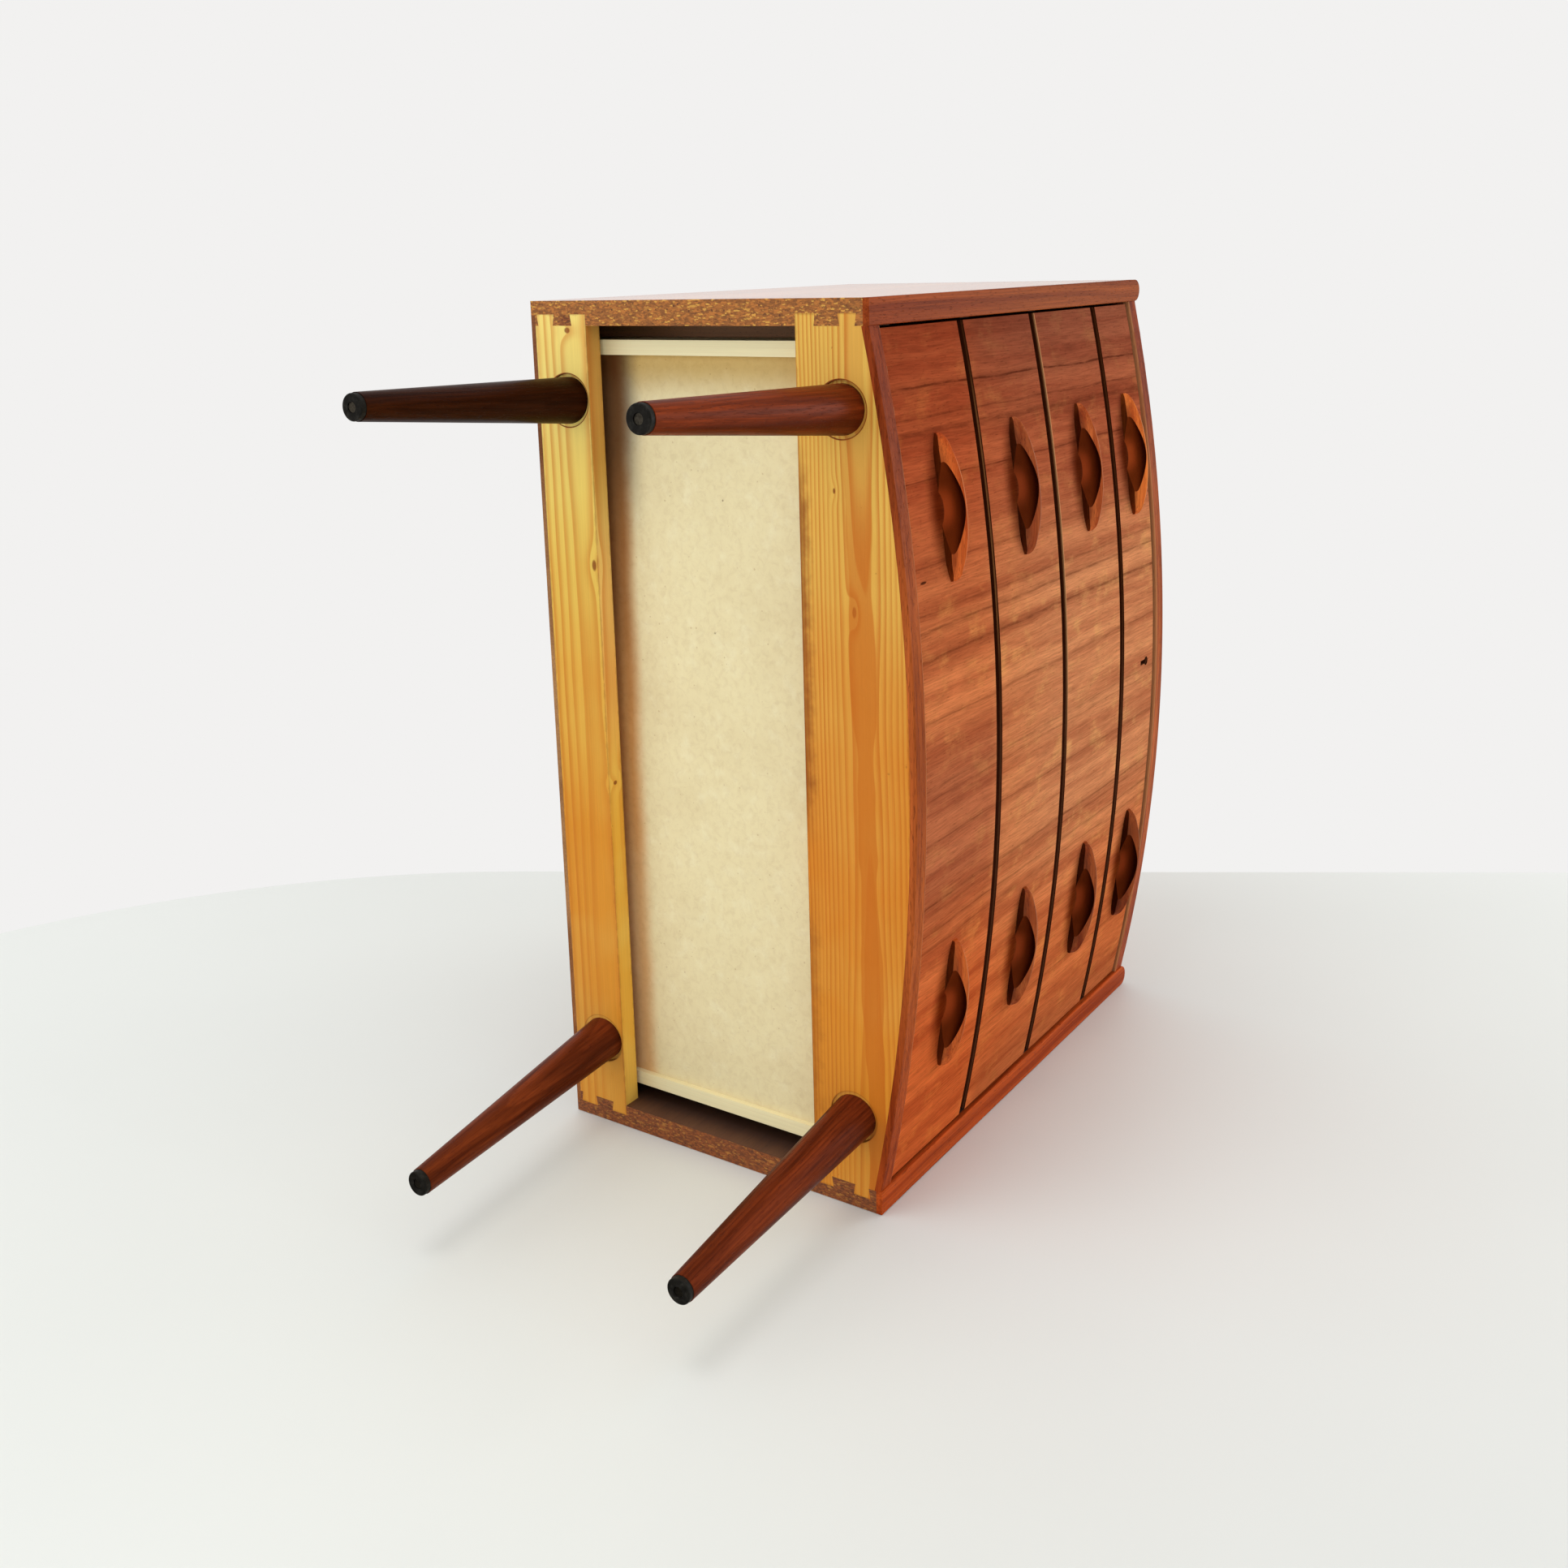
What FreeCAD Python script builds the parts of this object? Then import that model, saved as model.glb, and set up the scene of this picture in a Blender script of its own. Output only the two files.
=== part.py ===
import FreeCAD, Part
import math
import os

# Low chest of four side-hung drawers with a bowed front, on four turned legs.
# Millimetres. +Z is up, -Y is the front, +X is the right as seen from the front.
# It is laid out from the back, the middle and the underside of the case, and moved
# at the end so that the origin is on the floor under the middle of its outline.

V = FreeCAD.Vector

# Case
case_width = 600.0
side_thickness = 16.5
side_depth = 266.5
side_rise_above_top = 6.0
lipping_thickness = 4.5
side_top_lipping_height = 12.0
side_front_rounding = 0.8
rail_thickness = 14.0
top_thickness = 14.0
top_tongue = 6.0
back_thickness = 3.5
back_rabbet_in_side = 7.0
back_rabbet_in_top = 7.0

# Bowed front: every curve is struck from one centre behind the chest
bow_radius = 1357.5
bow_corner_setback = 1.1
lipping_rounding = 1.3

# Rails under the case and their dovetails, those of the rear rail measured from its rear
# edge and those of the front rail from the side panel's front edge
rear_rail_width = 44.1
front_rail_reach = 52.5
dovetail_length = 7.5
dovetail_flare = 1.2
rear_tail_edge = 1.4
rear_tail_width = 15.2
rear_tail_gap = 14.2
front_tail_width = 14.5
front_tail_gap = 16.0
front_tail_edge = 9.1

# Drawer fronts
low_front_height = 97.5
top_front_height = 59.5
low_drawer_count = 3
drawer_gap = 8.5
front_bottom_gap = 2.0
front_top_gap = 3.0
front_side_gap = 2.0
front_setback = 2.0
front_thickness = 15.0

# Drawer boxes
box_side_gap = 10.0
box_side_thickness = 10.0
box_side_lift = 2.0
box_side_drop = 6.0
box_rear_y = 18.0
box_front_housing = 6.0
box_back_thickness = 10.0
box_back_inset = 6.0
box_back_housing = 4.0
box_back_drop = 5.0
bottom_thickness = 3.5
bottom_lift = 4.0
bottom_housing = 4.5

# Hardwood runners on the side panels, in stopped grooves of the drawer sides
runner_height = 12.0
runner_depth = 14.0
runner_rear_y = 10.0
runner_front_inset = 26.5
runner_side_clearance = 0.5
runner_under_clearance = 0.5
runner_screw_inset = 35.0
screw_head_radius = 3.6
screw_shank_radius = 1.9
screw_length = 25.0
screw_point_length = 4.0

# Turned legs, seated in counterbores of the rails
leg_seat_inset = 66.0
leg_splay = 13.2
rear_leg_seat_inset = 28.7
rear_leg_rake = 10.1
front_leg_seat_inset = 20.9
front_leg_rake = 3.0
leg_height = 196.0
leg_top_radius = 15.75
leg_tip_radius = 8.5
leg_counterbore_radius = 18.0
leg_counterbore_depth = 1.6
leg_tenon_radius = 10.0
leg_tenon_clearance = 0.1

# Glides nailed under the legs
glide_radius = 8.2
glide_thickness = 4.0
glide_rounding = 1.0
glide_recess_radius = 3.25
glide_recess_depth = 1.6
nail_head_radius = 3.0
nail_head_thickness = 1.0
nail_shank_radius = 0.8
nail_length = 18.0

# Carved lip handles
handle_inset = 113.2
handle_length = 94.0
handle_height = 22.0
handle_depth = 14.0
handle_tip_depth = 2.0
handle_tip_top = 10.5
handle_tip_bottom = 5.5
handle_below_middle = 10.5
handle_root = 3.0
handle_undercut = 2.0
handle_arris_easing = 0.9
handle_crown = 0.9
handle_section_shares = (-1.0, -0.94, -0.82, -0.62, -0.35, 0.0, 0.35, 0.62, 0.82, 0.94, 1.0)
handle_arris_share = 0.505
handle_underside_share = 0.43
handle_straight_share = 0.62
handle_plan_power = 2.4
handle_plan_roundness = 0.6
handle_crest_power = 2.2
scoop_half_length = 45.0
scoop_length_shares = (-1.0, -0.8, -0.6, -0.4, -0.2, 0.0, 0.2, 0.4, 0.6, 0.8, 1.0)
scoop_end_share = 0.04
scoop_half_depth = 9.0
scoop_half_height = 16.3
scoop_centre_out = 7.5
scoop_centre_below = 3.0

# Lock behind the top drawer's front
keyhole_below_top = 14.3
keyhole_radius = 3.5
keyhole_slot_width = 3.6
keyhole_height = 14.5
lock_width = 40.0
lock_height = 35.0
lock_depth = 10.0
lock_let_in = 2.0
strike_length = 16.0
strike_width = 6.0
strike_depth = 8.0

# One overrun serves every cut
overrun = 2.0

# Levels and lines that follow from the sizes
half_width = case_width / 2
inner_half = half_width - side_thickness
core_depth = side_depth - lipping_thickness
low_front_pitch = low_front_height + drawer_gap
first_front_z = rail_thickness + front_bottom_gap
top_front_z = first_front_z + low_drawer_count * low_front_pitch
top_board_z = top_front_z + top_front_height + front_top_gap
top_surface_z = top_board_z + top_thickness
side_height = top_surface_z + side_rise_above_top
side_core_height = side_height - side_top_lipping_height
bow_corner_y = side_depth - bow_corner_setback
bow_centre_y = math.sqrt(bow_radius ** 2 - inner_half ** 2) - bow_corner_y
bow_front_y = bow_radius - bow_centre_y
board_bow_radius = bow_radius - lipping_thickness
front_outer_radius = bow_radius - front_setback
front_inner_radius = front_outer_radius - front_thickness
front_half = inner_half - front_side_gap
box_half = inner_half - box_side_gap
box_inner_half = box_half - box_side_thickness
lock_front_y = front_inner_radius - bow_centre_y + lock_let_in
runner_front_y = side_depth - runner_front_inset
groove_depth = runner_depth - box_side_gap + runner_side_clearance
glide_top_z = glide_thickness - leg_height


def slab(x_from, x_to, y_from, y_to, z_from, z_to):
    """A box between two planes on each axis; y is measured from the back to the front."""
    corner = V(x_from, -y_to, z_from)
    return Part.makeBox(x_to - x_from, y_to - y_from, z_to - z_from, corner)


def bow_disc(radius, z_from, z_to):
    """The disc that trims a board to the bow of the front."""
    return Part.makeCylinder(radius, z_to - z_from, V(0, bow_centre_y, z_from))


def bow_y(radius, x):
    """How far a bow of this radius stands from the back at x."""
    return math.sqrt(radius ** 2 - x ** 2) - bow_centre_y


def bow_board(half, y_from, z_from, z_to, radius):
    """A level board of half width half, from a line near the back to a bowed front edge."""
    board = slab(-half, half, y_from, bow_front_y + overrun, z_from, z_to)
    return board.common(bow_disc(radius, z_from, z_to))


def bow_strip(half, z_from, z_to, outer_radius, inner_radius):
    """A strip bent to the bow between two radii."""
    return bow_board(half, 0, z_from, z_to, outer_radius).cut(bow_disc(inner_radius, z_from, z_to))


def mirrored(shape):
    """The same piece on the other side of the chest."""
    return shape.mirror(V(0, 0, 0), V(1, 0, 0))


def both_sides(shapes):
    """Right-hand shapes with their mirror images."""
    return shapes + [mirrored(shape) for shape in shapes]


def rod(start, direction, radius, length):
    """A round bar from a point along a direction."""
    return Part.makeCylinder(radius, length, start, direction)


def turned(start, direction, outline):
    """A piece turned on an axis, from its outline of (distance along, radius) points."""
    points = [V(radius, 0, along) for along, radius in outline]
    face = Part.Face(Part.makePolygon(points + [points[0]]))
    solid = face.revolve(V(0, 0, 0), V(0, 0, 1), 360)
    solid.Placement = FreeCAD.Placement(start, FreeCAD.Rotation(V(0, 0, 1), direction))
    return solid


def bowed_lipping(z_from, z_to):
    """Solid strip on a board's bowed edge, its two long arrises rounded."""
    strip = bow_strip(inner_half, z_from, z_to, bow_radius, board_bow_radius)
    arrises = []
    for edge in strip.Edges:
        middle = edge.valueAt((edge.FirstParameter + edge.LastParameter) / 2)
        reach = math.hypot(middle.x, middle.y - bow_centre_y)
        level = edge.BoundBox.ZLength < lipping_rounding
        outside = reach > bow_radius - lipping_rounding
        if level and outside and abs(middle.x) < front_half:
            arrises.append(edge)
    return strip.makeFillet(lipping_rounding, arrises)


def side_profile(z_from, y_from, y_to):
    """The side panel's section from a level up to its half-round upper edge."""
    radius = side_thickness / 2
    shoulder_z = side_height - radius
    low_in = V(inner_half, -y_from, z_from)
    low_out = V(half_width, -y_from, z_from)
    high_out = V(half_width, -y_from, shoulder_z)
    crown = V(inner_half + radius, -y_from, side_height)
    high_in = V(inner_half, -y_from, shoulder_z)
    edges = [
        Part.LineSegment(low_in, low_out).toShape(),
        Part.LineSegment(low_out, high_out).toShape(),
        Part.Arc(high_out, crown, high_in).toShape(),
        Part.LineSegment(high_in, low_in).toShape(),
    ]
    return Part.Face(Part.Wire(edges)).extrude(V(0, y_from - y_to, 0))


def side_front_lipping():
    """Solid strip on the front edge of the side, its outer arrises eased."""
    strip = side_profile(0, core_depth, side_depth)
    arrises = []
    for edge in strip.Edges:
        in_front = edge.BoundBox.YMax < side_front_rounding - side_depth
        upright = edge.BoundBox.ZLength > side_thickness
        crown = edge.BoundBox.ZMin > side_core_height
        if in_front and (upright or crown):
            arrises.append(edge)
    return strip.makeFillet(side_front_rounding, arrises)


def dovetail(y_from, y_to, flare_rear, flare_front):
    """One tail on the end of a rail, wider at its tip than at the shoulder."""
    tip_x = inner_half + dovetail_length
    corners = [
        V(inner_half, -(y_from + flare_rear), 0),
        V(tip_x, -y_from, 0),
        V(tip_x, -y_to, 0),
        V(inner_half, -(y_to - flare_front), 0),
    ]
    face = Part.Face(Part.makePolygon(corners + [corners[0]]))
    return face.extrude(V(0, 0, rail_thickness))


def rear_rail():
    """Straight rail with two dovetails at each end, the front one flush with the rail's edge."""
    y_from = back_thickness
    y_to = back_thickness + rear_rail_width
    first_y = y_from + rear_tail_edge
    second_y = first_y + rear_tail_width + rear_tail_gap
    first = dovetail(first_y, first_y + rear_tail_width, dovetail_flare, dovetail_flare)
    second = dovetail(second_y, y_to, dovetail_flare, 0)
    board = slab(-inner_half, inner_half, y_from, y_to, 0, rail_thickness)
    board = board.fuse(both_sides([first, second])).removeSplitter()
    seat_cut = leg_seat_cut(rear_leg_line())
    return board.cut([seat_cut, mirrored(seat_cut)])


def front_rail():
    """Rail with a bowed front edge and two dovetails at each end."""
    y_from = side_depth - front_rail_reach
    first_end = y_from + front_tail_width
    second_y = first_end + front_tail_gap
    first = dovetail(y_from, first_end, 0, dovetail_flare)
    second = dovetail(second_y, side_depth - front_tail_edge, dovetail_flare, dovetail_flare)
    board = bow_board(inner_half, y_from, 0, rail_thickness, board_bow_radius)
    board = board.fuse(both_sides([first, second])).removeSplitter()
    seat_cut = leg_seat_cut(front_leg_line())
    return board.cut([seat_cut, mirrored(seat_cut)])


def leg_line(seat_y, tip_y):
    """Where a right-hand leg's axis meets the rail, its direction down, and its length."""
    seat = V(half_width - leg_seat_inset, -seat_y, 0)
    tip = V(half_width - leg_seat_inset + leg_splay, -tip_y, -leg_height)
    reach = (tip - seat).Length
    return seat, (tip - seat).normalize(), reach


def rear_leg_line():
    """Axis of the rear leg."""
    return leg_line(rear_leg_seat_inset, rear_leg_seat_inset + rear_leg_rake)


def front_leg_line():
    """Axis of the front leg."""
    seat_y = side_depth - front_leg_seat_inset
    return leg_line(seat_y, seat_y + front_leg_rake)


def leg_seat_cut(line):
    """The counterbore and the bore that a leg is driven into."""
    seat, down, reach = line
    floor = seat - down * leg_counterbore_depth
    counterbore = rod(floor, down, leg_counterbore_radius, leg_counterbore_depth + overrun)
    bore = rod(floor, down * -1, leg_tenon_radius + leg_tenon_clearance, rail_thickness)
    return counterbore.fuse(bore)


def leg(line):
    """Tapered leg with its tenon, sawn level at both ends."""
    seat, down, reach = line
    length = reach + leg_counterbore_depth
    taper = (leg_top_radius - leg_tip_radius) / length
    outline = [
        (-rail_thickness, 0),
        (-rail_thickness, leg_tenon_radius),
        (0, leg_tenon_radius),
        (0, leg_top_radius),
        (length + overrun, leg_tip_radius - taper * overrun),
        (length + overrun, 0),
    ]
    blank = turned(seat - down * leg_counterbore_depth, down, outline)
    keep = slab(0, half_width, 0, side_depth, glide_top_z, rail_thickness)
    return blank.common(keep)


def glide_centre(line):
    """The middle of a glide, on the leg's axis where the leg is sawn off."""
    seat, down, reach = line
    return seat + down * (glide_top_z / down.z)


def glide(centre):
    """Moulded disc with a rounded rim and a sunk middle for its nail."""
    base = centre - V(0, 0, glide_thickness)
    disc = rod(base, V(0, 0, 1), glide_radius, glide_thickness)
    rim = [edge for edge in disc.Edges if edge.Closed and edge.BoundBox.ZMax < centre.z - glide_rounding]
    disc = disc.makeFillet(glide_rounding, rim)
    recess = rod(base, V(0, 0, 1), glide_recess_radius, glide_recess_depth)
    return disc.cut(recess)


def glide_nail(centre):
    """Nail that holds a glide in the leg's end grain, its head in the glide's recess."""
    head_top = glide_recess_depth - glide_thickness
    outline = [
        (head_top - nail_head_thickness, 0),
        (head_top - nail_head_thickness, nail_head_radius),
        (head_top, nail_head_radius),
        (head_top, nail_shank_radius),
        (nail_length - nail_shank_radius, nail_shank_radius),
        (nail_length, 0),
    ]
    return turned(centre, V(0, 0, 1), outline)


def feet():
    """Legs, glides and the nails of the glides."""
    pieces = {}
    nails = []
    for name, line in (("rear", rear_leg_line()), ("front", front_leg_line())):
        centre = glide_centre(line)
        nail = glide_nail(centre)
        foot = leg(line).cut(nail)
        pad = glide(centre).cut(nail)
        nails.append(nail)
        pieces["leg_%s_right" % name] = foot
        pieces["leg_%s_left" % name] = mirrored(foot)
        pieces["glide_%s_right" % name] = pad
        pieces["glide_%s_left" % name] = mirrored(pad)
    pieces["glide_nails"] = Part.makeCompound(both_sides(nails))
    return pieces


def runner_level(front_z, front_height):
    """The underside of the runners that carry a drawer, at the middle of its sides."""
    side_z = front_z + box_side_lift
    side_top = front_z + front_height - box_side_drop
    return (side_z + side_top - runner_height) / 2


def runner_screw(y, z):
    """Countersunk screw through a runner into the right side panel."""
    outline = [
        (0, 0),
        (0, screw_head_radius),
        (screw_head_radius - screw_shank_radius, screw_shank_radius),
        (screw_length - screw_point_length, screw_shank_radius),
        (screw_length, 0),
    ]
    return turned(V(inner_half - runner_depth, -y, z), V(1, 0, 0), outline)


def runner_screws():
    """Two screws for each right-hand runner, from the lowest drawer up."""
    screws = []
    for name, front_z, front_height in drawer_rows():
        z = runner_level(front_z, front_height) + runner_height / 2
        for y in (runner_rear_y + runner_screw_inset, runner_front_y - runner_screw_inset):
            screws.append(runner_screw(y, z))
    return screws


def runners(screws):
    """The eight runners, drilled for their screws."""
    pieces = {}
    for name, front_z, front_height in drawer_rows():
        z = runner_level(front_z, front_height)
        inner_x = inner_half - runner_depth
        strip = slab(inner_x, inner_half, runner_rear_y, runner_front_y, z, z + runner_height)
        strip = strip.cut(screws)
        number = name.split("_")[1]
        pieces["runner_right_" + number] = strip
        pieces["runner_left_" + number] = mirrored(strip)
    return pieces


def handle_section(share):
    """The handle's section across its length, at a share of its half length."""
    away = abs(share)
    tip = max(0, (away - handle_straight_share) / (1 - handle_straight_share))
    swell = (1 - away ** handle_plan_power) ** handle_plan_roundness
    depth = handle_tip_depth + (handle_depth - handle_tip_depth) * swell
    size = depth / handle_depth
    low = handle_tip_bottom * tip ** 2
    high = handle_height - (handle_height - handle_tip_top) * away ** handle_crest_power
    x = share * handle_length / 2
    back_low = V(x, handle_root, low + handle_undercut * size)
    flat_end = V(x, -depth * handle_underside_share, low)
    arris = V(x, -depth, low + (high - low) * handle_arris_share)
    front_high = V(x, 0, high)
    back_high = V(x, handle_root, high)
    slope = (arris - flat_end).normalize()
    top = (front_high - arris).normalize()
    slope_end = arris - slope * (handle_arris_easing * size)
    top_start = arris + top * (handle_arris_easing * size)
    crown = (top_start + front_high) / 2 + V(0, -top.z, top.y) * (handle_crown * size)
    edges = [
        Part.LineSegment(back_low, flat_end).toShape(),
        Part.LineSegment(flat_end, slope_end).toShape(),
        Part.LineSegment(slope_end, top_start).toShape(),
        Part.Arc(top_start, crown, front_high).toShape(),
        Part.LineSegment(front_high, back_high).toShape(),
        Part.LineSegment(back_high, back_low).toShape(),
    ]
    return Part.Wire(edges)


def seat_on_front(shape, middle_z):
    """Move a right-hand shape from the origin to its place on the bow of a drawer front."""
    shape.translate(V(0, bow_centre_y - front_outer_radius, middle_z - handle_below_middle))
    turn = math.degrees(math.asin((front_half - handle_inset) / front_outer_radius))
    shape.rotate(V(0, bow_centre_y, 0), V(0, 0, 1), turn)
    return shape


def finger_hollow():
    """The spindle with slender ends that is carved out of a handle for the fingers."""
    rim = []
    for share in scoop_length_shares:
        swell = (1 + math.cos(math.pi * share)) / 2
        radius = scoop_end_share + (1 - scoop_end_share) * swell
        rim.append(V(share * scoop_half_length, radius, 0))
    curve = Part.BSplineCurve()
    curve.interpolate(rim)
    start = V(-scoop_half_length, 0, 0)
    end = V(scoop_half_length, 0, 0)
    edges = [
        Part.LineSegment(start, rim[0]).toShape(),
        curve.toShape(),
        Part.LineSegment(rim[-1], end).toShape(),
        Part.LineSegment(end, start).toShape(),
    ]
    spindle = Part.Face(Part.Wire(edges)).revolve(start, V(1, 0, 0), 360)
    stretch = FreeCAD.Matrix()
    stretch.scale(V(1, scoop_half_depth, scoop_half_height))
    hollow = spindle.transformGeometry(stretch)
    hollow.translate(V(0, -scoop_centre_out, -scoop_centre_below))
    return hollow


def handle(middle_z):
    """Right-hand lip handle, hollowed from below to the front that it is seated on."""
    blank = Part.makeLoft([handle_section(share) for share in handle_section_shares], True, False)
    carved = seat_on_front(blank.cut(finger_hollow()), middle_z)
    low = middle_z - handle_height
    high = middle_z + handle_height
    return carved.cut(bow_disc(front_outer_radius, low, high))


def keyhole(top_z, y_from, y_to):
    """Keyhole with its round end up, between two planes."""
    centre_z = top_z - keyhole_below_top
    slot_end = centre_z + keyhole_radius - keyhole_height
    half_slot = keyhole_slot_width / 2
    head = rod(V(0, -y_to, centre_z), V(0, 1, 0), keyhole_radius, y_to - y_from)
    return head.fuse(slab(-half_slot, half_slot, y_from, y_to, slot_end, centre_z))


def lock_case(top_z):
    """Lock let into the back of the top drawer's front, flush with its upper edge."""
    half = lock_width / 2
    return slab(-half, half, lock_front_y - lock_depth, lock_front_y, top_z - lock_height, top_z)


def drawer_side(front_z, front_height):
    """Right side of a drawer, before its grooves are cut."""
    middle_x = box_half - box_side_thickness / 2
    y_to = bow_y(front_inner_radius, middle_x) + box_front_housing
    side_z = front_z + box_side_lift
    side_top = front_z + front_height - box_side_drop
    return slab(box_inner_half, box_half, box_rear_y, y_to, side_z, side_top)


def runner_groove(front_z, front_height):
    """Groove in the right side of a drawer, stopped where the runner ends."""
    z = runner_level(front_z, front_height)
    return slab(box_half - groove_depth, box_half + overrun, box_rear_y - overrun, runner_front_y,
                z - runner_under_clearance, z + runner_height)


def drawer(name, front_z, front_height):
    """The pieces of one drawer by node name."""
    front_top = front_z + front_height
    bottom_z = front_z + box_side_lift + bottom_lift
    bottom_top = bottom_z + bottom_thickness
    back_y = box_rear_y + box_back_inset
    back_half = box_inner_half + box_back_housing
    back_top = front_top - box_side_drop - box_back_drop

    side = drawer_side(front_z, front_height)
    back = slab(-back_half, back_half, back_y, back_y + box_back_thickness, bottom_top, back_top)
    bottom = bow_board(box_inner_half + bottom_housing, back_y, bottom_z, bottom_top,
                       front_inner_radius + bottom_housing)
    front = bow_strip(front_half, front_z, front_top, front_outer_radius, front_inner_radius)
    front = front.cut([side, mirrored(side), bottom])
    side = side.cut([runner_groove(front_z, front_height), back, bottom])
    pull = handle(front_z + front_height / 2)
    return {
        name + "_front": front,
        name + "_side_right": side,
        name + "_side_left": mirrored(side),
        name + "_back": back,
        name + "_bottom": bottom,
        name + "_handle_right": pull,
        name + "_handle_left": mirrored(pull),
    }


def fit_lock(pieces, name, front_top):
    """Let the lock into a drawer's front and cut the keyhole through both."""
    case = lock_case(front_top)
    hole = keyhole(front_top, lock_front_y - lock_depth / 2, lock_front_y + front_thickness)
    pieces[name + "_front"] = pieces[name + "_front"].cut([case, hole])
    pieces["lock_case"] = case.cut(hole)


def drawer_rows():
    """Name, level and height of each drawer front, from the bottom up."""
    rows = []
    for number in range(low_drawer_count):
        level = first_front_z + number * low_front_pitch
        rows.append(("drawer_%d" % (number + 1), level, low_front_height))
    rows.append(("drawer_%d" % (low_drawer_count + 1), top_front_z, top_front_height))
    return rows


def top_board(back):
    """Top board with its ends housed in the sides, rebated for the back, mortised for the bolt."""
    board = bow_board(inner_half + top_tongue, 0, top_board_z, top_surface_z, board_bow_radius)
    y_to = front_inner_radius - bow_centre_y
    half = strike_length / 2
    mortise = slab(-half, half, y_to - strike_width, y_to, top_board_z, top_board_z + strike_depth)
    return board.cut([back, mortise])


def case():
    """Sides, boards, rails and lippings by node name, and the runners with their screws."""
    screws = runner_screws()
    back_half = inner_half + back_rabbet_in_side
    back = slab(-back_half, back_half, 0, back_thickness, 0, top_board_z + back_rabbet_in_top)
    top = top_board(back)
    rear = rear_rail()
    front = front_rail()
    core = slab(inner_half, half_width, 0, core_depth, 0, side_core_height)
    core = core.cut([rear, front, top, back] + screws)
    upper_strip = side_profile(side_core_height, 0, core_depth).cut(top)
    front_strip = side_front_lipping()
    pieces = runners(screws)
    pieces.update({
        "side_panel_right": core,
        "side_panel_left": mirrored(core),
        "side_top_lipping_right": upper_strip,
        "side_top_lipping_left": mirrored(upper_strip),
        "side_front_lipping_right": front_strip,
        "side_front_lipping_left": mirrored(front_strip),
        "top_panel": top,
        "top_lipping": bowed_lipping(top_board_z, top_surface_z),
        "back_panel": back,
        "rear_rail": rear,
        "front_rail": front,
        "front_rail_lipping": bowed_lipping(0, rail_thickness),
        "runner_screws": Part.makeCompound(both_sides(screws)),
    })
    return pieces


def build():
    """All the pieces of the chest by node name."""
    pieces = case()
    pieces.update(feet())
    for name, front_z, front_height in drawer_rows():
        pieces.update(drawer(name, front_z, front_height))
    fit_lock(pieces, name, front_z + front_height)
    return pieces


def export(pieces):
    """Move the origin to the floor under the middle of the outline and write each node."""
    outline = Part.makeCompound(list(pieces.values())).optimalBoundingBox()
    middle = outline.Center
    to_origin = V(-middle.x, -middle.y, -outline.ZMin)
    os.makedirs("parts", exist_ok=True)
    for name, shape in sorted(pieces.items()):
        placed = shape.copy()
        placed.translate(to_origin)
        placed.exportStep("parts/%s.step" % name)
    print("%d nodes" % len(pieces))
    print("outline %.2f x %.2f x %.2f mm" % (outline.XLength, outline.YLength, outline.ZLength))
    print("back face at y = %.3f mm" % -middle.y)


export(build())
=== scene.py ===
import math

import bmesh
import bpy
from bpy.props import FloatProperty, FloatVectorProperty, PointerProperty
from mathutils import Euler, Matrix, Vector


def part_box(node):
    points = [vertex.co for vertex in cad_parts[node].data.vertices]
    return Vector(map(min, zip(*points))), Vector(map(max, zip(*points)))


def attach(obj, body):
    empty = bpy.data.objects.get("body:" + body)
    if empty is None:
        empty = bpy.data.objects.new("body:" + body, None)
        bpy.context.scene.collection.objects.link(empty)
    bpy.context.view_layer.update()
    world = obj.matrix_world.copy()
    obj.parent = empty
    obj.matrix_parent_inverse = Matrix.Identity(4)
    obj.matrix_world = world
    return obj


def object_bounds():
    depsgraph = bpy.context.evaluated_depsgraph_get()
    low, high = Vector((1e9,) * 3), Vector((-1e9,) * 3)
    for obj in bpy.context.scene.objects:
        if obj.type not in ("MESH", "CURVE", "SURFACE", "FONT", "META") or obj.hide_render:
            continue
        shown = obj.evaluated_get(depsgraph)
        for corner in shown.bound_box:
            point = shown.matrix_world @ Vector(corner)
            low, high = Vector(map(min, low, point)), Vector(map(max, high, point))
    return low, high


bl_info = {
    "name": "Bow-fronted chest of drawers",
    "version": (1, 0, 0),
    "blender": (4, 5, 0),
    "location": "3D View > Sidebar > Chest",
    "description": "Finishes a teak chest of drawers on turned legs and lays it on a pale table",
    "category": "Object",
}

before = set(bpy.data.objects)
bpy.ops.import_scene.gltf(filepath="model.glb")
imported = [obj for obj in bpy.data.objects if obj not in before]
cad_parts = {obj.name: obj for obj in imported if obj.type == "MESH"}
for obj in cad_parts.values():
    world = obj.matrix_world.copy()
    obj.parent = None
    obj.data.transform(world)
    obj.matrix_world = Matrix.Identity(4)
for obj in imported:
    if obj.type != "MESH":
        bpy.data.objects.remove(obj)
cad_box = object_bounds()
chest_low, chest_high = (Vector(corner) for corner in cad_box)
DRAWERS = (1, 2, 3, 4)


def shade(red, green, blue):
    """A colour as seen on a screen, 0 to 255, as linear values."""
    linear = []
    for level in (red, green, blue):
        share = level / 255
        linear.append(share / 12.92 if share <= 0.04045 else ((share + 0.055) / 1.055) ** 2.4)
    return tuple(linear)


def colour(label, description, red, green, blue):
    """A colour property with this default."""
    return FloatVectorProperty(name=label, description=description, subtype="COLOR", size=3,
                               min=0.0, max=1.0, default=shade(red, green, blue))


def length(label, description, metres):
    """A length property with this default."""
    return FloatProperty(name=label, description=description, subtype="DISTANCE", unit="LENGTH",
                         min=0.0, default=metres, precision=4)


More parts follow.
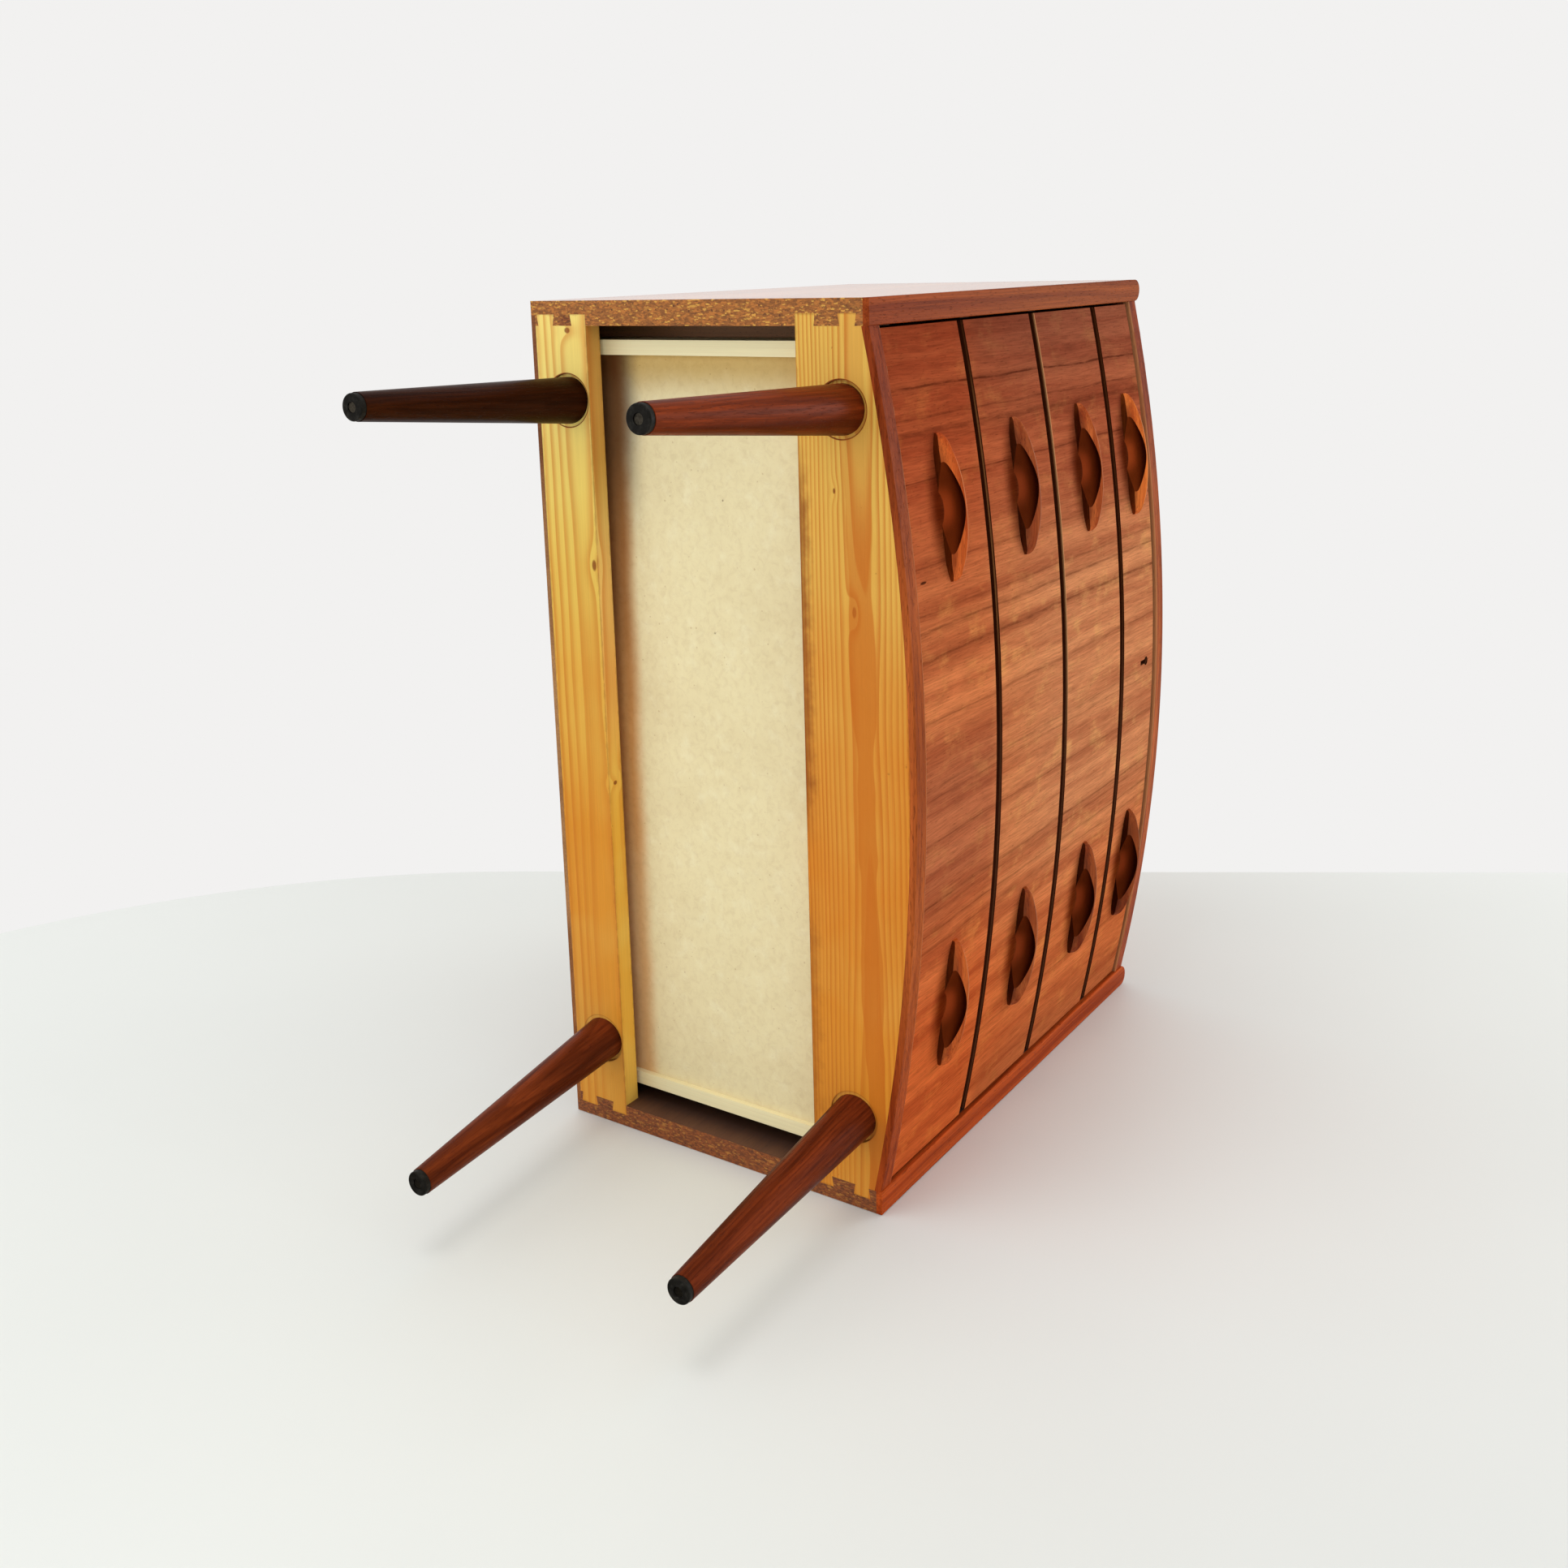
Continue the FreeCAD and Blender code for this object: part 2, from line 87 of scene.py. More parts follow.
def place_at(label, description, default):
    """A property for a place, with this default."""
    return FloatVectorProperty(name=label, description=description, subtype="TRANSLATION",
                               unit="LENGTH", precision=5, size=len(default), default=default)


def number(label, description, default, subtype="NONE", unit="NONE"):
    """A property for a plain number, an angle or a power, with this default."""
    return FloatProperty(name=label, description=description, subtype=subtype, unit=unit,
                         default=default)


class ChestFinishes(bpy.types.PropertyGroup):
    """Colours of the woods and fittings."""
    veneer_pale: colour("Veneer, pale", "Pale stripes of the teak veneer", 219, 144, 96)
    veneer_deep: colour("Veneer, deep", "Darker stripes of the teak veneer", 183, 108, 71)
    veneer_ochre: colour("Veneer, ochre", "Paler clouds in the teak veneer", 222, 159, 99)
    veneer_streak: colour("Veneer streaks", "Dark lines in the teak veneer", 88, 40, 22)
    # painted shade: the veneer inside the case is made dull and dark for the shade there
    inner_veneer_shaded: colour("Inner veneer", "Dull veneer inside the case", 76, 48, 28)
    # grime, also used as painted shade on the undersides of the handles
    grime_and_shade: colour("Grime", "Dark patina under the handles", 50, 20, 8)
    # painted shade in the handles' hollows, a painted glow of light in their middle, and the
    # darkest painted shade under their rims
    hollow_shade: colour("Hollow", "Dark patina in the handles' hollows", 104, 42, 14)
    hollow_painted_light: colour("Hollow, middle", "Worn middle of the hollows", 168, 72, 32)
    hollow_rim_shade: colour("Hollow, rim", "Darkest patina, under the hollows' rims", 60, 20, 4)
    front_edge: colour("Front edge", "Stained edge of the drawer fronts", 81, 40, 24)
    # the pale ply line, also used for painted highlights along arrises and crests
    ply_and_highlight: colour("Front ply line", "Pale ply in the edge of the drawer fronts", 205, 146, 98)
    solid_pale: colour("Solid teak, pale", "Pale parts of the lippings", 210, 108, 50)
    solid_deep: colour("Solid teak, deep", "Darker parts of the lippings", 156, 70, 30)
    handle_pale: colour("Handle, pale", "Pale parts of the carved handles", 226, 122, 56)
    handle_deep: colour("Handle, deep", "Darker parts of the carved handles", 172, 74, 28)
    leg_pale: colour("Leg, pale", "Pale streaks of the turned legs", 150, 70, 34)
    leg_deep: colour("Leg, deep", "Dark streaks of the turned legs", 84, 34, 16)
    pine_pale: colour("Pine, early wood", "Pine between the rings, at its palest", 236, 204, 108)
    pine_warm: colour("Pine, aged", "Pine between the rings, darkened", 220, 142, 46)
    pine_ring: colour("Pine, late wood", "The rings of the pine rails", 200, 108, 30)
    pine_stain: colour("Pine, stain", "Resin, knots and stains in the pine rails", 130, 58, 20)
    chip_brown: colour("Particleboard", "Body of the particleboard", 198, 124, 54)
    chip_pale: colour("Particleboard flakes", "Pale flakes of the particleboard", 236, 180, 84)
    chip_dark: colour("Particleboard, dark", "Dark specks of the particleboard", 84, 44, 18)
    hardboard_pale: colour("Hardboard", "Underside of the drawer bottoms", 238, 224, 178)
    hardboard_fleck: colour("Hardboard flecks", "Fibres and flecks of the hardboard", 176, 138, 84)
    softwood: colour("Drawer softwood", "Sides and backs of the drawers", 250, 238, 190)
    softwood_ring: colour("Drawer rings", "Rings in the sides of the drawers", 235, 213, 160)
    beech: colour("Runners", "Hardwood runners", 182, 128, 84)
    beech_fleck: colour("Runner flecks", "Short flecks of the runners", 134, 84, 52)
    back_board: colour("Back panel", "Thin plywood back", 176, 130, 86)
    back_board_deep: colour("Back panel, deep", "Darker grain of the back", 132, 88, 54)
    glide: colour("Glides", "Moulded glides under the legs", 28, 26, 22)
    steel: colour("Nails", "Nails of the glides and the back", 118, 110, 96)
    brass: colour("Screws and lock", "Aged brass of the screws and the lock", 168, 132, 66)


class ChestNails(bpy.types.PropertyGroup):
    """Panel nails along the edges of the back."""
    spacing: length("Spacing", "Distance from one panel nail to the next", 0.062)
    edge_distance: length("Edge distance", "From the edge of the back to the nails", 0.0035)
    head_radius: length("Head radius", "Radius of a nail's head", 0.0016)
    head_rise: length("Head rise", "How far a head stands above the panel", 0.0005)
    drift: length("Drift", "How far a nail strays from its line", 0.0008)


class ChestStudio(bpy.types.PropertyGroup):
    """Camera, table and light."""
    camera_place: place_at("Camera place", "Where the camera stands",
                           (-0.323314, -0.615543, -0.632586))
    camera_turn: FloatVectorProperty(name="Camera turn", description="How the camera is turned",
                                     subtype="EULER", unit="ROTATION",
                                     default=[math.radians(angle) for angle in
                                              (166.336638, -33.901883, -88.180378)])
    lens: number("Lens", "Focal length in millimetres", 37.1657)
    rise: number("Shift", "Vertical shift of the lens", -0.1032886)
    table_radius: length("Table radius", "Radius of the table's round end", 0.7729)
    table_length: length("Table length", "From the centre of the round end to the other end", 2.6)
    table_width: length("Table width", "From the centre of the round end to the near side", 1.5)
    table_turn: number("Table turn", "Direction of the table's long side", -0.5221, "ANGLE",
                       "ROTATION")
    table_centre: place_at("Table centre", "Centre of the round end", (0.1431, -0.1314))
    table_tone: colour("Table", "White table top", 236, 239, 235)
    wall_tone: colour("Wall", "Plain wall behind the table", 242, 241, 240)
    room_light: number("Room light", "Even light from all around", 0.78)
    ceiling_light: number("Ceiling light", "Soft light on the upper side", 6.5, "POWER", "POWER")
    window_light: number("Window light", "Soft light on the underside", 10.0, "POWER", "POWER")
    front_light: number("Front light", "Soft light on the drawer fronts", 8.0, "POWER", "POWER")


# Node trees

class Wire:
    """An output of a node, so that sums of outputs are written with plain signs."""

    def __init__(self, socket):
        self.socket = socket

    def __add__(self, other):
        return calc("ADD", self, other)

    def __radd__(self, other):
        return calc("ADD", other, self)

    def __sub__(self, other):
        return calc("SUBTRACT", self, other)

    def __rsub__(self, other):
        return calc("SUBTRACT", other, self)

    def __mul__(self, other):
        return calc("MULTIPLY", self, other)

    def __rmul__(self, other):
        return calc("MULTIPLY", other, self)

    def __truediv__(self, other):
        return calc("DIVIDE", self, other)

    def __rtruediv__(self, other):
        return calc("DIVIDE", other, self)

    def __abs__(self):
        return calc("ABSOLUTE", self)


def tree_of(*values):
    """The node tree of the first output among these values."""
    return next(value.socket.id_data for value in values if isinstance(value, Wire))


def feed(socket, value):
    """Link an output to a socket, or set the socket's own value."""
    source = value.socket if isinstance(value, Wire) else value
    if isinstance(source, bpy.types.NodeSocket):
        socket.id_data.links.new(source, socket)
    elif socket.type == "RGBA" and len(source) == 3:
        socket.default_value = (*source, 1.0)
    else:
        socket.default_value = source


def add(tree, kind, inputs=None, **settings):
    """A new node with these settings, its inputs fed by label or by number."""
    node = tree.nodes.new(kind)
    for name, value in settings.items():
        setattr(node, name, value)
    for label, value in (inputs or {}).items():
        feed(node.inputs[label], value)
    return node


def result(kind, values, out=0, **settings):
    """One output of a new node whose inputs take these values in order."""
    return Wire(add(tree_of(*values), kind, dict(enumerate(values)), **settings).outputs[out])


def calc(operation, *values, clamp=False):
    """The result of one sum."""
    return result("ShaderNodeMath", values, operation=operation, use_clamp=clamp)


def vector_calc(operation, *values, out=0):
    """The result of one sum on vectors."""
    return result("ShaderNodeVectorMath", values, out, operation=operation)


def least(first, second):
    """The smaller of two values."""
    return calc("MINIMUM", first, second)


def most(first, second):
    """The larger of two values."""
    return calc("MAXIMUM", first, second)


def step(value, low, high, from_share=0.0, to_share=1.0):
    """A soft step from one value to another."""
    return result("ShaderNodeMapRange", (value, low, high, from_share, to_share),
                  interpolation_type="SMOOTHSTEP")


def join(x, y, z):
    """A vector from X, Y and Z."""
    return result("ShaderNodeCombineXYZ", (x, y, z))


def split(vector):
    """X, Y and Z of a vector."""
    node = add(tree_of(vector), "ShaderNodeSeparateXYZ", {0: vector})
    return [Wire(socket) for socket in node.outputs]


def hypot(x, y, z=0.0):
    """Length of a vector with these sides."""
    return vector_calc("LENGTH", join(x, y, z), out=1)


def mix(share, first, second, mode="MIX"):
    """Two colours mixed by a share."""
    node = add(tree_of(share, first, second), "ShaderNodeMix", data_type="RGBA", blend_type=mode)
    for socket, value in ((node.inputs["Factor"], share), (node.inputs[6], first),
                          (node.inputs[7], second)):
        feed(socket, value)
    return Wire(node.outputs[2])


def painted(base, *layers):
    """A colour with others laid over it, each by the share of its mask."""
    for share, tone in layers:
        base = mix(share, base, tone)
    return base


def washed(base, *layers):
    """A colour multiplied by tones, each by the share of its mask."""
    for share, tone in layers:
        base = mix(share, base, tone, "MULTIPLY")
    return base


def toned(base, level):
    """A colour made darker or lighter by a level."""
    return washed(base, (1.0, join(level, level, level)))


def noise(vector, scale=1.0, detail=2.0, roughness=0.5, distortion=0.0, out="Fac"):
    """Smooth noise between 0 and 1."""
    node = add(tree_of(vector), "ShaderNodeTexNoise",
               {"Vector": vector, "Scale": scale, "Detail": detail, "Roughness": roughness,
                "Distortion": distortion}, noise_dimensions="3D")
    return Wire(node.outputs[out])


def cells(vector, scale):
    """Distance to the middle of the nearest cell, and three random shares of that cell."""
    node = add(tree_of(vector), "ShaderNodeTexVoronoi", {"Vector": vector, "Scale": scale},
               feature="F1")
    return Wire(node.outputs["Distance"]), split(Wire(node.outputs["Color"]))


def own_coordinates(tree):
    """The object's own coordinates."""
    return Wire(add(tree, "ShaderNodeTexCoord").outputs["Object"])


def surface_normal(tree):
    """X, Y and Z of the direction in which the surface faces."""
    return split(Wire(add(tree, "ShaderNodeTexCoord").outputs["Normal"]))


def new_group(name, inputs, outputs):
    """An empty node group with named sockets, its inputs by name and its outputs."""
    kinds = {float: "NodeSocketFloat", tuple: "NodeSocketVector"}
    group = bpy.data.node_groups.new(name, "ShaderNodeTree")
    for label, default in inputs.items():
        socket = group.interface.new_socket(label, in_out="INPUT",
                                            socket_type=kinds[type(default)])
        socket.default_value = default
    for label in outputs:
        group.interface.new_socket(label, in_out="OUTPUT", socket_type=kinds[float])
    given = {socket.name: Wire(socket) for socket in add(group, "NodeGroupInput").outputs}
    return group, given, add(group, "NodeGroupOutput").inputs


def place(group_name, **values):
    """All outputs of a shared node group; its inputs are named with underscores for spaces."""
    tree = bpy.data.node_groups.get(group_name) or GROUP_BUILDERS[group_name]()
    node = add(tree_of(*values.values()), "ShaderNodeGroup", node_tree=tree)
    for label, value in values.items():
        feed(node.inputs[label.replace("_", " ")], value)
    return [Wire(socket) for socket in node.outputs]


def build_fibres():
    """Fine fibres and pores of a wood whose grain runs along Z."""
    tree, given, out = new_group(
        "Fibres", {"Vector": ORIGIN, "Fibre Width": 0.001, "Fibre Length": 0.05,
                   "Pore Width": 0.0005, "Pore Length": 0.006, "Pore Share": 0.3},
        ["Fibres", "Pores"])
    x, y, z = split(given["Vector"])

    def stretched(width, along, detail):
        """Noise drawn out along the grain."""
        across = 1.0 / width
        return noise(join(x * across, y * across, z / along), detail=detail)

    feed(out["Fibres"], stretched(given["Fibre Width"], given["Fibre Length"], 3.0))
    pore = stretched(given["Pore Width"], given["Pore Length"], 1.0)
    level = 0.78 - given["Pore Share"] * 0.4
    feed(out["Pores"], step(pore, level, level + 0.08))
    return tree


def build_rings():
    """Growth rings about a pith that runs along Z."""
    tree, given, out = new_group(
        "Growth Rings", {"Vector": ORIGIN, "Pith": ORIGIN, "Ring Width": 0.002, "Phase": 0.0,
                         "Waviness": 0.002, "Wave Length": 0.3, "Bend": 0.0}, ["Late Wood"])
    x, y, z = split(vector_calc("SUBTRACT", given["Vector"], given["Pith"]))
    along = z / given["Wave Length"]
    wave = noise(join(x * 18.0, y * 18.0, along), detail=3.0, roughness=0.45)
    radius = hypot(x, y) + (wave - 0.5) * given["Waviness"] + given["Bend"]
    turns = radius / given["Ring Width"] + given["Phase"]
    year = calc("FLOOR", turns)
    share = turns - year
    late = step(share, 0.25, 0.86) * step(share, 1.0, 0.9)
    strength = noise(join(year * 0.37, along * 0.6, 0.0))
    feed(out["Late Wood"], late * step(strength, 0.25, 0.65, 0.45, 1.0))
    return tree


def build_figure():
    """Stripes and dark lines of teak whose grain runs along Z."""
    tree, given, out = new_group(
        "Teak Figure", {"Vector": ORIGIN, "Stripe Width": 0.03, "Slant": 0.05,
                        "Line Width": 0.002, "Line Share": 0.35}, ["Stripes", "Lines"])
    x, y, z = split(given["Vector"])
    drift = (noise(join(x * 5.0, y * 5.0, z * 3.0)) - 0.5) * 0.016
    across = x + z * given["Slant"] + drift

    def stretched(inverse_width, along, **settings):
        """Noise drawn out along the grain."""
        return noise(join(across * inverse_width, y * inverse_width, z * along), **settings)

    stripes = stretched(1.0 / given["Stripe Width"], 1.6, detail=4.0, roughness=0.62)
    lines = stretched(1.0 / given["Line Width"], 6.0, detail=2.0, roughness=0.6)
    patches = stretched(16.0, 3.0)
    level = 0.74 - given["Line Share"] * 0.4
    feed(out["Stripes"], step(stripes, 0.3, 0.7))
    feed(out["Lines"], step(lines, level, level + 0.1) * step(patches, 0.42, 0.66))
    return tree


def build_specks():
    """Scattered specks of uneven size."""
    tree, given, out = new_group(
        "Specks", {"Vector": ORIGIN, "Spacing": 0.01, "Size": 0.001, "Share": 0.5}, ["Specks"])
    ragged = noise(given["Vector"], scale=900.0)
    away, chance = cells(given["Vector"], 1.0 / given["Spacing"])
    away = away * given["Spacing"] * (0.5 + ragged)
    reach = given["Size"] * (0.4 + chance[1])
    spot = step(away, reach, reach * 0.5)
    feed(out["Specks"], spot * calc("LESS_THAN", chance[0], given["Share"]))
    return tree


def build_arrises():
    """How near a point of a board is to one of its arrises, with a ragged border."""
    tree, given, out = new_group(
        "Arrises", {"Vector": ORIGIN, "Low": ORIGIN, "High": (1.0, 1.0, 1.0), "Reach": 0.002,
                    "Raggedness": 0.5}, ["Arris"])
    below = split(vector_calc("ABSOLUTE", vector_calc("SUBTRACT", given["Vector"], given["Low"])))
    above = split(vector_calc("ABSOLUTE", vector_calc("SUBTRACT", given["High"], given["Vector"])))
    x, y, z = (least(below[axis], above[axis]) for axis in range(3))
    second_nearest = most(least(x, y), least(most(x, y), z))
    ragged = noise(given["Vector"], scale=160.0, detail=4.0) - 0.5
    reach = given["Reach"] * (1.0 + ragged * (given["Raggedness"] * 4.0))
    feed(out["Arris"], step(second_nearest, reach, reach * 0.2))
    return tree


def build_knot():
    """A knot: its core, and how far it bends the rings about it."""
    tree, given, out = new_group(
        "Knot", {"Vector": ORIGIN, "Centre": ORIGIN, "Size": 0.003, "Along": 2.0},
        ["Core", "Bend"])
    x, y, z = split(vector_calc("SUBTRACT", given["Vector"], given["Centre"]))
    share = hypot(x, y, z / given["Along"]) / given["Size"]
    feed(out["Core"], step(share, 1.0, 0.55))
    fall = calc("POWER", 2.718, share * share * -0.12)
    feed(out["Bend"], fall * (given["Size"] * 1.5))
    return tree


GROUP_BUILDERS = {
    "Fibres": build_fibres,
    "Growth Rings": build_rings,
    "Teak Figure": build_figure,
    "Specks": build_specks,
    "Arrises": build_arrises,
    "Knot": build_knot,
}


# Materials

ORIGIN = (0.0, 0.0, 0.0)
ACROSS = (1.0, 0.0, 0.0)
FRONT_TO_BACK = (0.0, 1.0, 0.0)
UPRIGHT = (0.0, 0.0, 1.0)
GRAIN_DEPTH = 0.00012


def new_material(name, **constants):
    """A material, its tree and its shader, with plain values set on the shader's own sockets."""
    material = bpy.data.materials.new(name)
    material.use_nodes = True
    tree = material.node_tree
    shader = tree.nodes["Principled BSDF"]
    for label, value in constants.items():
        feed(shader.inputs[label.replace("_", " ")], value)
    return material, tree, shader


def surface(shader, base, height, depth=GRAIN_DEPTH, **others):
    """Give a shader its colour, its relief so many metres deep, and other inputs by label."""
    feed(shader.inputs["Base Color"], base)
    for label, value in others.items():
        feed(shader.inputs[label.replace("_", " ")], value)
    bump = add(shader.id_data, "ShaderNodeBump",
               {"Strength": 1.0, "Distance": depth, "Height": height})
    feed(shader.inputs["Normal"], bump.outputs[0])


def grain_along(tree, axis, origin=ORIGIN):
    """The object's own coordinates, turned so that the grain runs along Z from an origin."""
    turned = add(tree, "ShaderNodeMapping",
                 {"Vector": own_coordinates(tree), "Location": origin,
                  "Rotation": Vector(axis).to_track_quat("Z", "Y").to_euler()},
                 vector_type="TEXTURE")
    return Wire(turned.outputs[0])


def dress(material, *nodes):
    """Give CAD pieces this material."""
    for name in nodes:
        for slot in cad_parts[name].material_slots:
            slot.material = material


def nodes_like(part, start="", but=""):
    """Names of the CAD pieces that contain a word, and start with another, but aren't this one."""
    return [name for name in sorted(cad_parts)
            if part in name and name.startswith(start) and name != but]


def bow_of(node):
    """Centre and radius of the bow that the front of a CAD piece follows."""
    corners = [vertex.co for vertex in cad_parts[node].data.vertices]
    front = min(point.y for point in corners)
    half = max(point.x for point in corners)
    end = min(point.y for point in corners if point.x > half - 0.0002)
    rise = end - front
    radius = (half ** 2 + rise ** 2) / (2 * rise)
    return front + radius, radius


def middle(points):
    """The middle of the box around some points."""
    low, high = (Vector([pick(point[axis] for point in points) for axis in range(3)])
                 for pick in (min, max))
    return (low + high) / 2


def leg_axis(node):
    """The middle of a leg's upper and lower end."""
    points = [vertex.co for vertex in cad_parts[node].data.vertices]
    top = max(point.z for point in points)
    foot = min(point.z for point in points)
    return (middle([point for point in points if point.z > top - 0.002]),
            middle([point for point in points if point.z < foot + 0.002]))


def painted_side_light(base):
    """Painted light and shade on wood: darker towards the left-hand side, redder towards the
    right.
    """
    x = split(own_coordinates(tree_of(base)))[0]
    return washed(base, (step(x, -0.04, -0.27), (0.60, 0.43, 0.45)),
                  (step(x, 0.08, 0.27), (0.87, 0.62, 0.50)))


def teak_colour(vector, pale, deep, streak, stripe_width, slant, line_share, pore_share):
    """Colour and surface height of a teak whose grain runs along Z of the vector."""
    stripes, lines = place("Teak Figure", Vector=vector, Stripe_Width=stripe_width, Slant=slant,
                           Line_Share=line_share)
    fibres, pores = place("Fibres", Vector=vector, Fibre_Width=0.0011, Fibre_Length=0.06,
                          Pore_Width=0.0006, Pore_Length=0.007, Pore_Share=pore_share)
    base = painted(deep, (stripes, pale), (lines * 0.62, streak))
    base = toned(base, step(fibres, 0.25, 0.75, 0.82, 1.14))
    return mix(pores * 0.5, base, streak), fibres * 0.5 - pores


def teak(name, axis, pale, deep, streak, stripe_width=0.03, slant=0.05, line_share=0.35,
         pore_share=0.4, roughness=0.42, gloss=0.05, arris_highlights=(), highlight_tone=None, upper_tone=None):
    """Oiled teak with its grain along an axis, with a painted highlight along the arrises at these
    heights.
    """
    material, tree, shader = new_material(name, Roughness=roughness, Specular_IOR_Level=gloss)
    base, height = teak_colour(grain_along(tree, axis), pale, deep, streak, stripe_width, slant,
                               line_share, pore_share)
    # painted light and shade by side
    base = painted_side_light(base)
    z = split(own_coordinates(tree))[2]
    # a painted highlight along each of these arrises
    for level in arris_highlights:
        base = mix(step(abs(z - level), 0.0016, 0.0008, 0.0, 0.6), base, highlight_tone)
    if upper_tone:
        base = washed(base, (step(z, 0.20, 0.45, 0.4, 1.0), upper_tone))
    surface(shader, base, height)
    return material


class ChestOperator(bpy.types.Operator):
    """A step in finishing the chest."""
    bl_idname = "chest.step"
    bl_label = "Chest step"
    bl_options = {"REGISTER"}


class CHEST_OT_sides(ChestOperator):
    """Veneer the side panels and the top board, with raw particleboard at their lower edges."""
    bl_idname = "chest.sides"
    bl_label = "Side panels and top board"

    def execute(self, context):
        finishes = context.scene.chest_finishes
        tones = (finishes.veneer_pale, finishes.veneer_deep, finishes.veneer_streak)
        for node in nodes_like("side_panel"):
            low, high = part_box(node)
            material, tree, shader = new_material("veneered_" + node)
            x, y, z = split(grain_along(tree, UPRIGHT))
            veneer, height = teak_colour(join(y, x, z), *tones, 0.03, 0.02, 0.3, 0.4)
            # the inner face: dull, darker veneer with painted shade, the shade full above its
            # lower edge
            inside = calc("LESS_THAN", abs(x), abs(low.x + high.x) / 2)
            veneer = mix(inside * 0.85, veneer, finishes.inner_veneer_shaded)
            shaded = inside * step(z, low.z, low.z + 0.02, 0.3, 1.0)
            veneer = washed(veneer, (shaded, (0.30, 0.24, 0.18)))
            # the lower edge: raw board between two lines of veneer
            board, chips = particleboard(tree, finishes)
            skin = least(abs(x - low.x), abs(high.x - x))
            board = mix(step(skin, 0.0009, 0.0005), board, finishes.veneer_streak)
            raw = step(abs(surface_normal(tree)[0]), 0.7, 0.3)
            dull = most(raw, inside)
            surface(shader, mix(raw, veneer, board), height * (0.3 - dull * 0.3) + chips * raw,
                    Roughness=step(dull, 0.0, 1.0, 0.11, 0.75))
            dress(material, node)
        dress(teak("veneered_top", ACROSS, *tones), "top_panel")
        return {"FINISHED"}


CHIPS_PER_METRE = (1100.0, 420.0, 420.0)
CHIP_WARP = (1.6, 1.6, 1.6)
FLAKE_THINNESS = (3.4, 1.0, 1.0)
REAR_DOVETAIL_Y = 0.114


def particleboard(tree, finishes):
    """Colour and height of raw particleboard, its chips lying along the board."""
    coordinates = own_coordinates(tree)
    chips = vector_calc("MULTIPLY", coordinates, CHIPS_PER_METRE)
    warp = vector_calc("MULTIPLY", noise(coordinates, scale=500.0, out="Color"), CHIP_WARP)
    away, pick = cells(vector_calc("ADD", chips, warp), 1.0)
    gaps = step(away, 0.5, 0.9)
    flakes, = place("Specks", Vector=vector_calc("MULTIPLY", coordinates, FLAKE_THINNESS),
                    Spacing=0.014, Size=0.0034, Share=0.3)
    grit, = place("Specks", Vector=coordinates, Spacing=0.003, Size=0.0007, Share=0.45)
    base = painted(
        finishes.chip_brown,
        (step(pick[0], 0.0, 1.0, 0.0, 0.6), finishes.chip_dark),
        (step(pick[1], 0.84, 0.95, 0.0, 0.8), finishes.chip_pale),
        (gaps * 0.45, finishes.chip_dark),
        (flakes * 0.75, finishes.chip_pale),
        (grit * 0.75, finishes.chip_dark))
    x, y, z = split(coordinates)
    # glue between the rear dovetails, then the left-hand board, then the right-hand one's edge
    between = step(x, -0.2915, -0.2895) * step(x, -0.27, -0.28)
    base = washed(
        base,
        (step(abs(y - REAR_DOVETAIL_Y), 0.012, 0.007) * between, (0.62, 0.46, 0.34)),
        (step(x, 0.0, -0.2), (0.90, 0.85, 0.66)),
        (step(x, 0.0, 0.2) * step(z, 0.26, 0.2), (0.57, 0.41, 0.29)))
    return base, pick[2] - gaps


class CHEST_OT_lippings(ChestOperator):
    """Solid teak lippings on the top, the front rail and the side panels."""
    bl_idname = "chest.lippings"
    bl_label = "Lippings"

    def execute(self, context):
        finishes = context.scene.chest_finishes
        tones = (finishes.solid_pale, finishes.solid_deep, finishes.veneer_streak)
        darker = [[level * 0.8 for level in tone] for tone in tones]
        grain = {"stripe_width": 0.006, "slant": 0.01, "line_share": 0.2}
        # painted highlights along the arrises of the bowed lippings next to the fronts
        arris_highlights = [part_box("front_rail_lipping")[1].z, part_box("top_lipping")[0].z]
        dress(teak("lipping_bowed", ACROSS, *darker, roughness=0.34, gloss=0.02, arris_highlights=arris_highlights,
                   highlight_tone=finishes.ply_and_highlight, **grain), "top_lipping", "front_rail_lipping")
        dress(teak("lipping_upright", UPRIGHT, *tones, roughness=0.36, gloss=0.02, **grain),
              "side_front_lipping_right")
        dress(teak("lipping_left", UPRIGHT, *tones, roughness=0.36, gloss=0.02,
                   upper_tone=(1.02, 1.40, 1.18), **grain), "side_front_lipping_left")
        dress(teak("lipping_level", FRONT_TO_BACK, *tones, roughness=0.36, **grain),
              *nodes_like("side_top_lipping"))
        return {"FINISHED"}


# Rings and knots of each rail. The pith is given by its y and its height above the rail's lower
# face, and each knot by x, y, z, its size, and its length against its width. None is the rail's
# own low y or low z.
RAILS = {
    "front_rail": {
        "pith_y": -0.1105, "pith_rise": 0.022, "warm_from": -0.26, "warm_to": 0.14,
        "ring_width": 0.0025, "ring_strength": 0.62, "phase": 0.62, "waviness": 0.012,
        "knots": ((-0.1844, -0.0908, None, 0.0011, 2.0), (-0.1097, -0.1038, None, 0.0018, 2.5)),
    },
    "rear_rail": {
        "pith_y": 0.112, "pith_rise": 0.012, "warm_from": -0.25, "warm_to": 0.15,
        "ring_width": 0.0062, "ring_strength": 0.55, "phase": 0.3, "waviness": 0.014,
        "knots": ((0.0352, None, 0.2026, 0.0024, 0.8), (-0.122, 0.1045, None, 0.0024, 2.0),
                  (-0.2805, 0.1175, None, 0.003, 0.8)),
    },
}
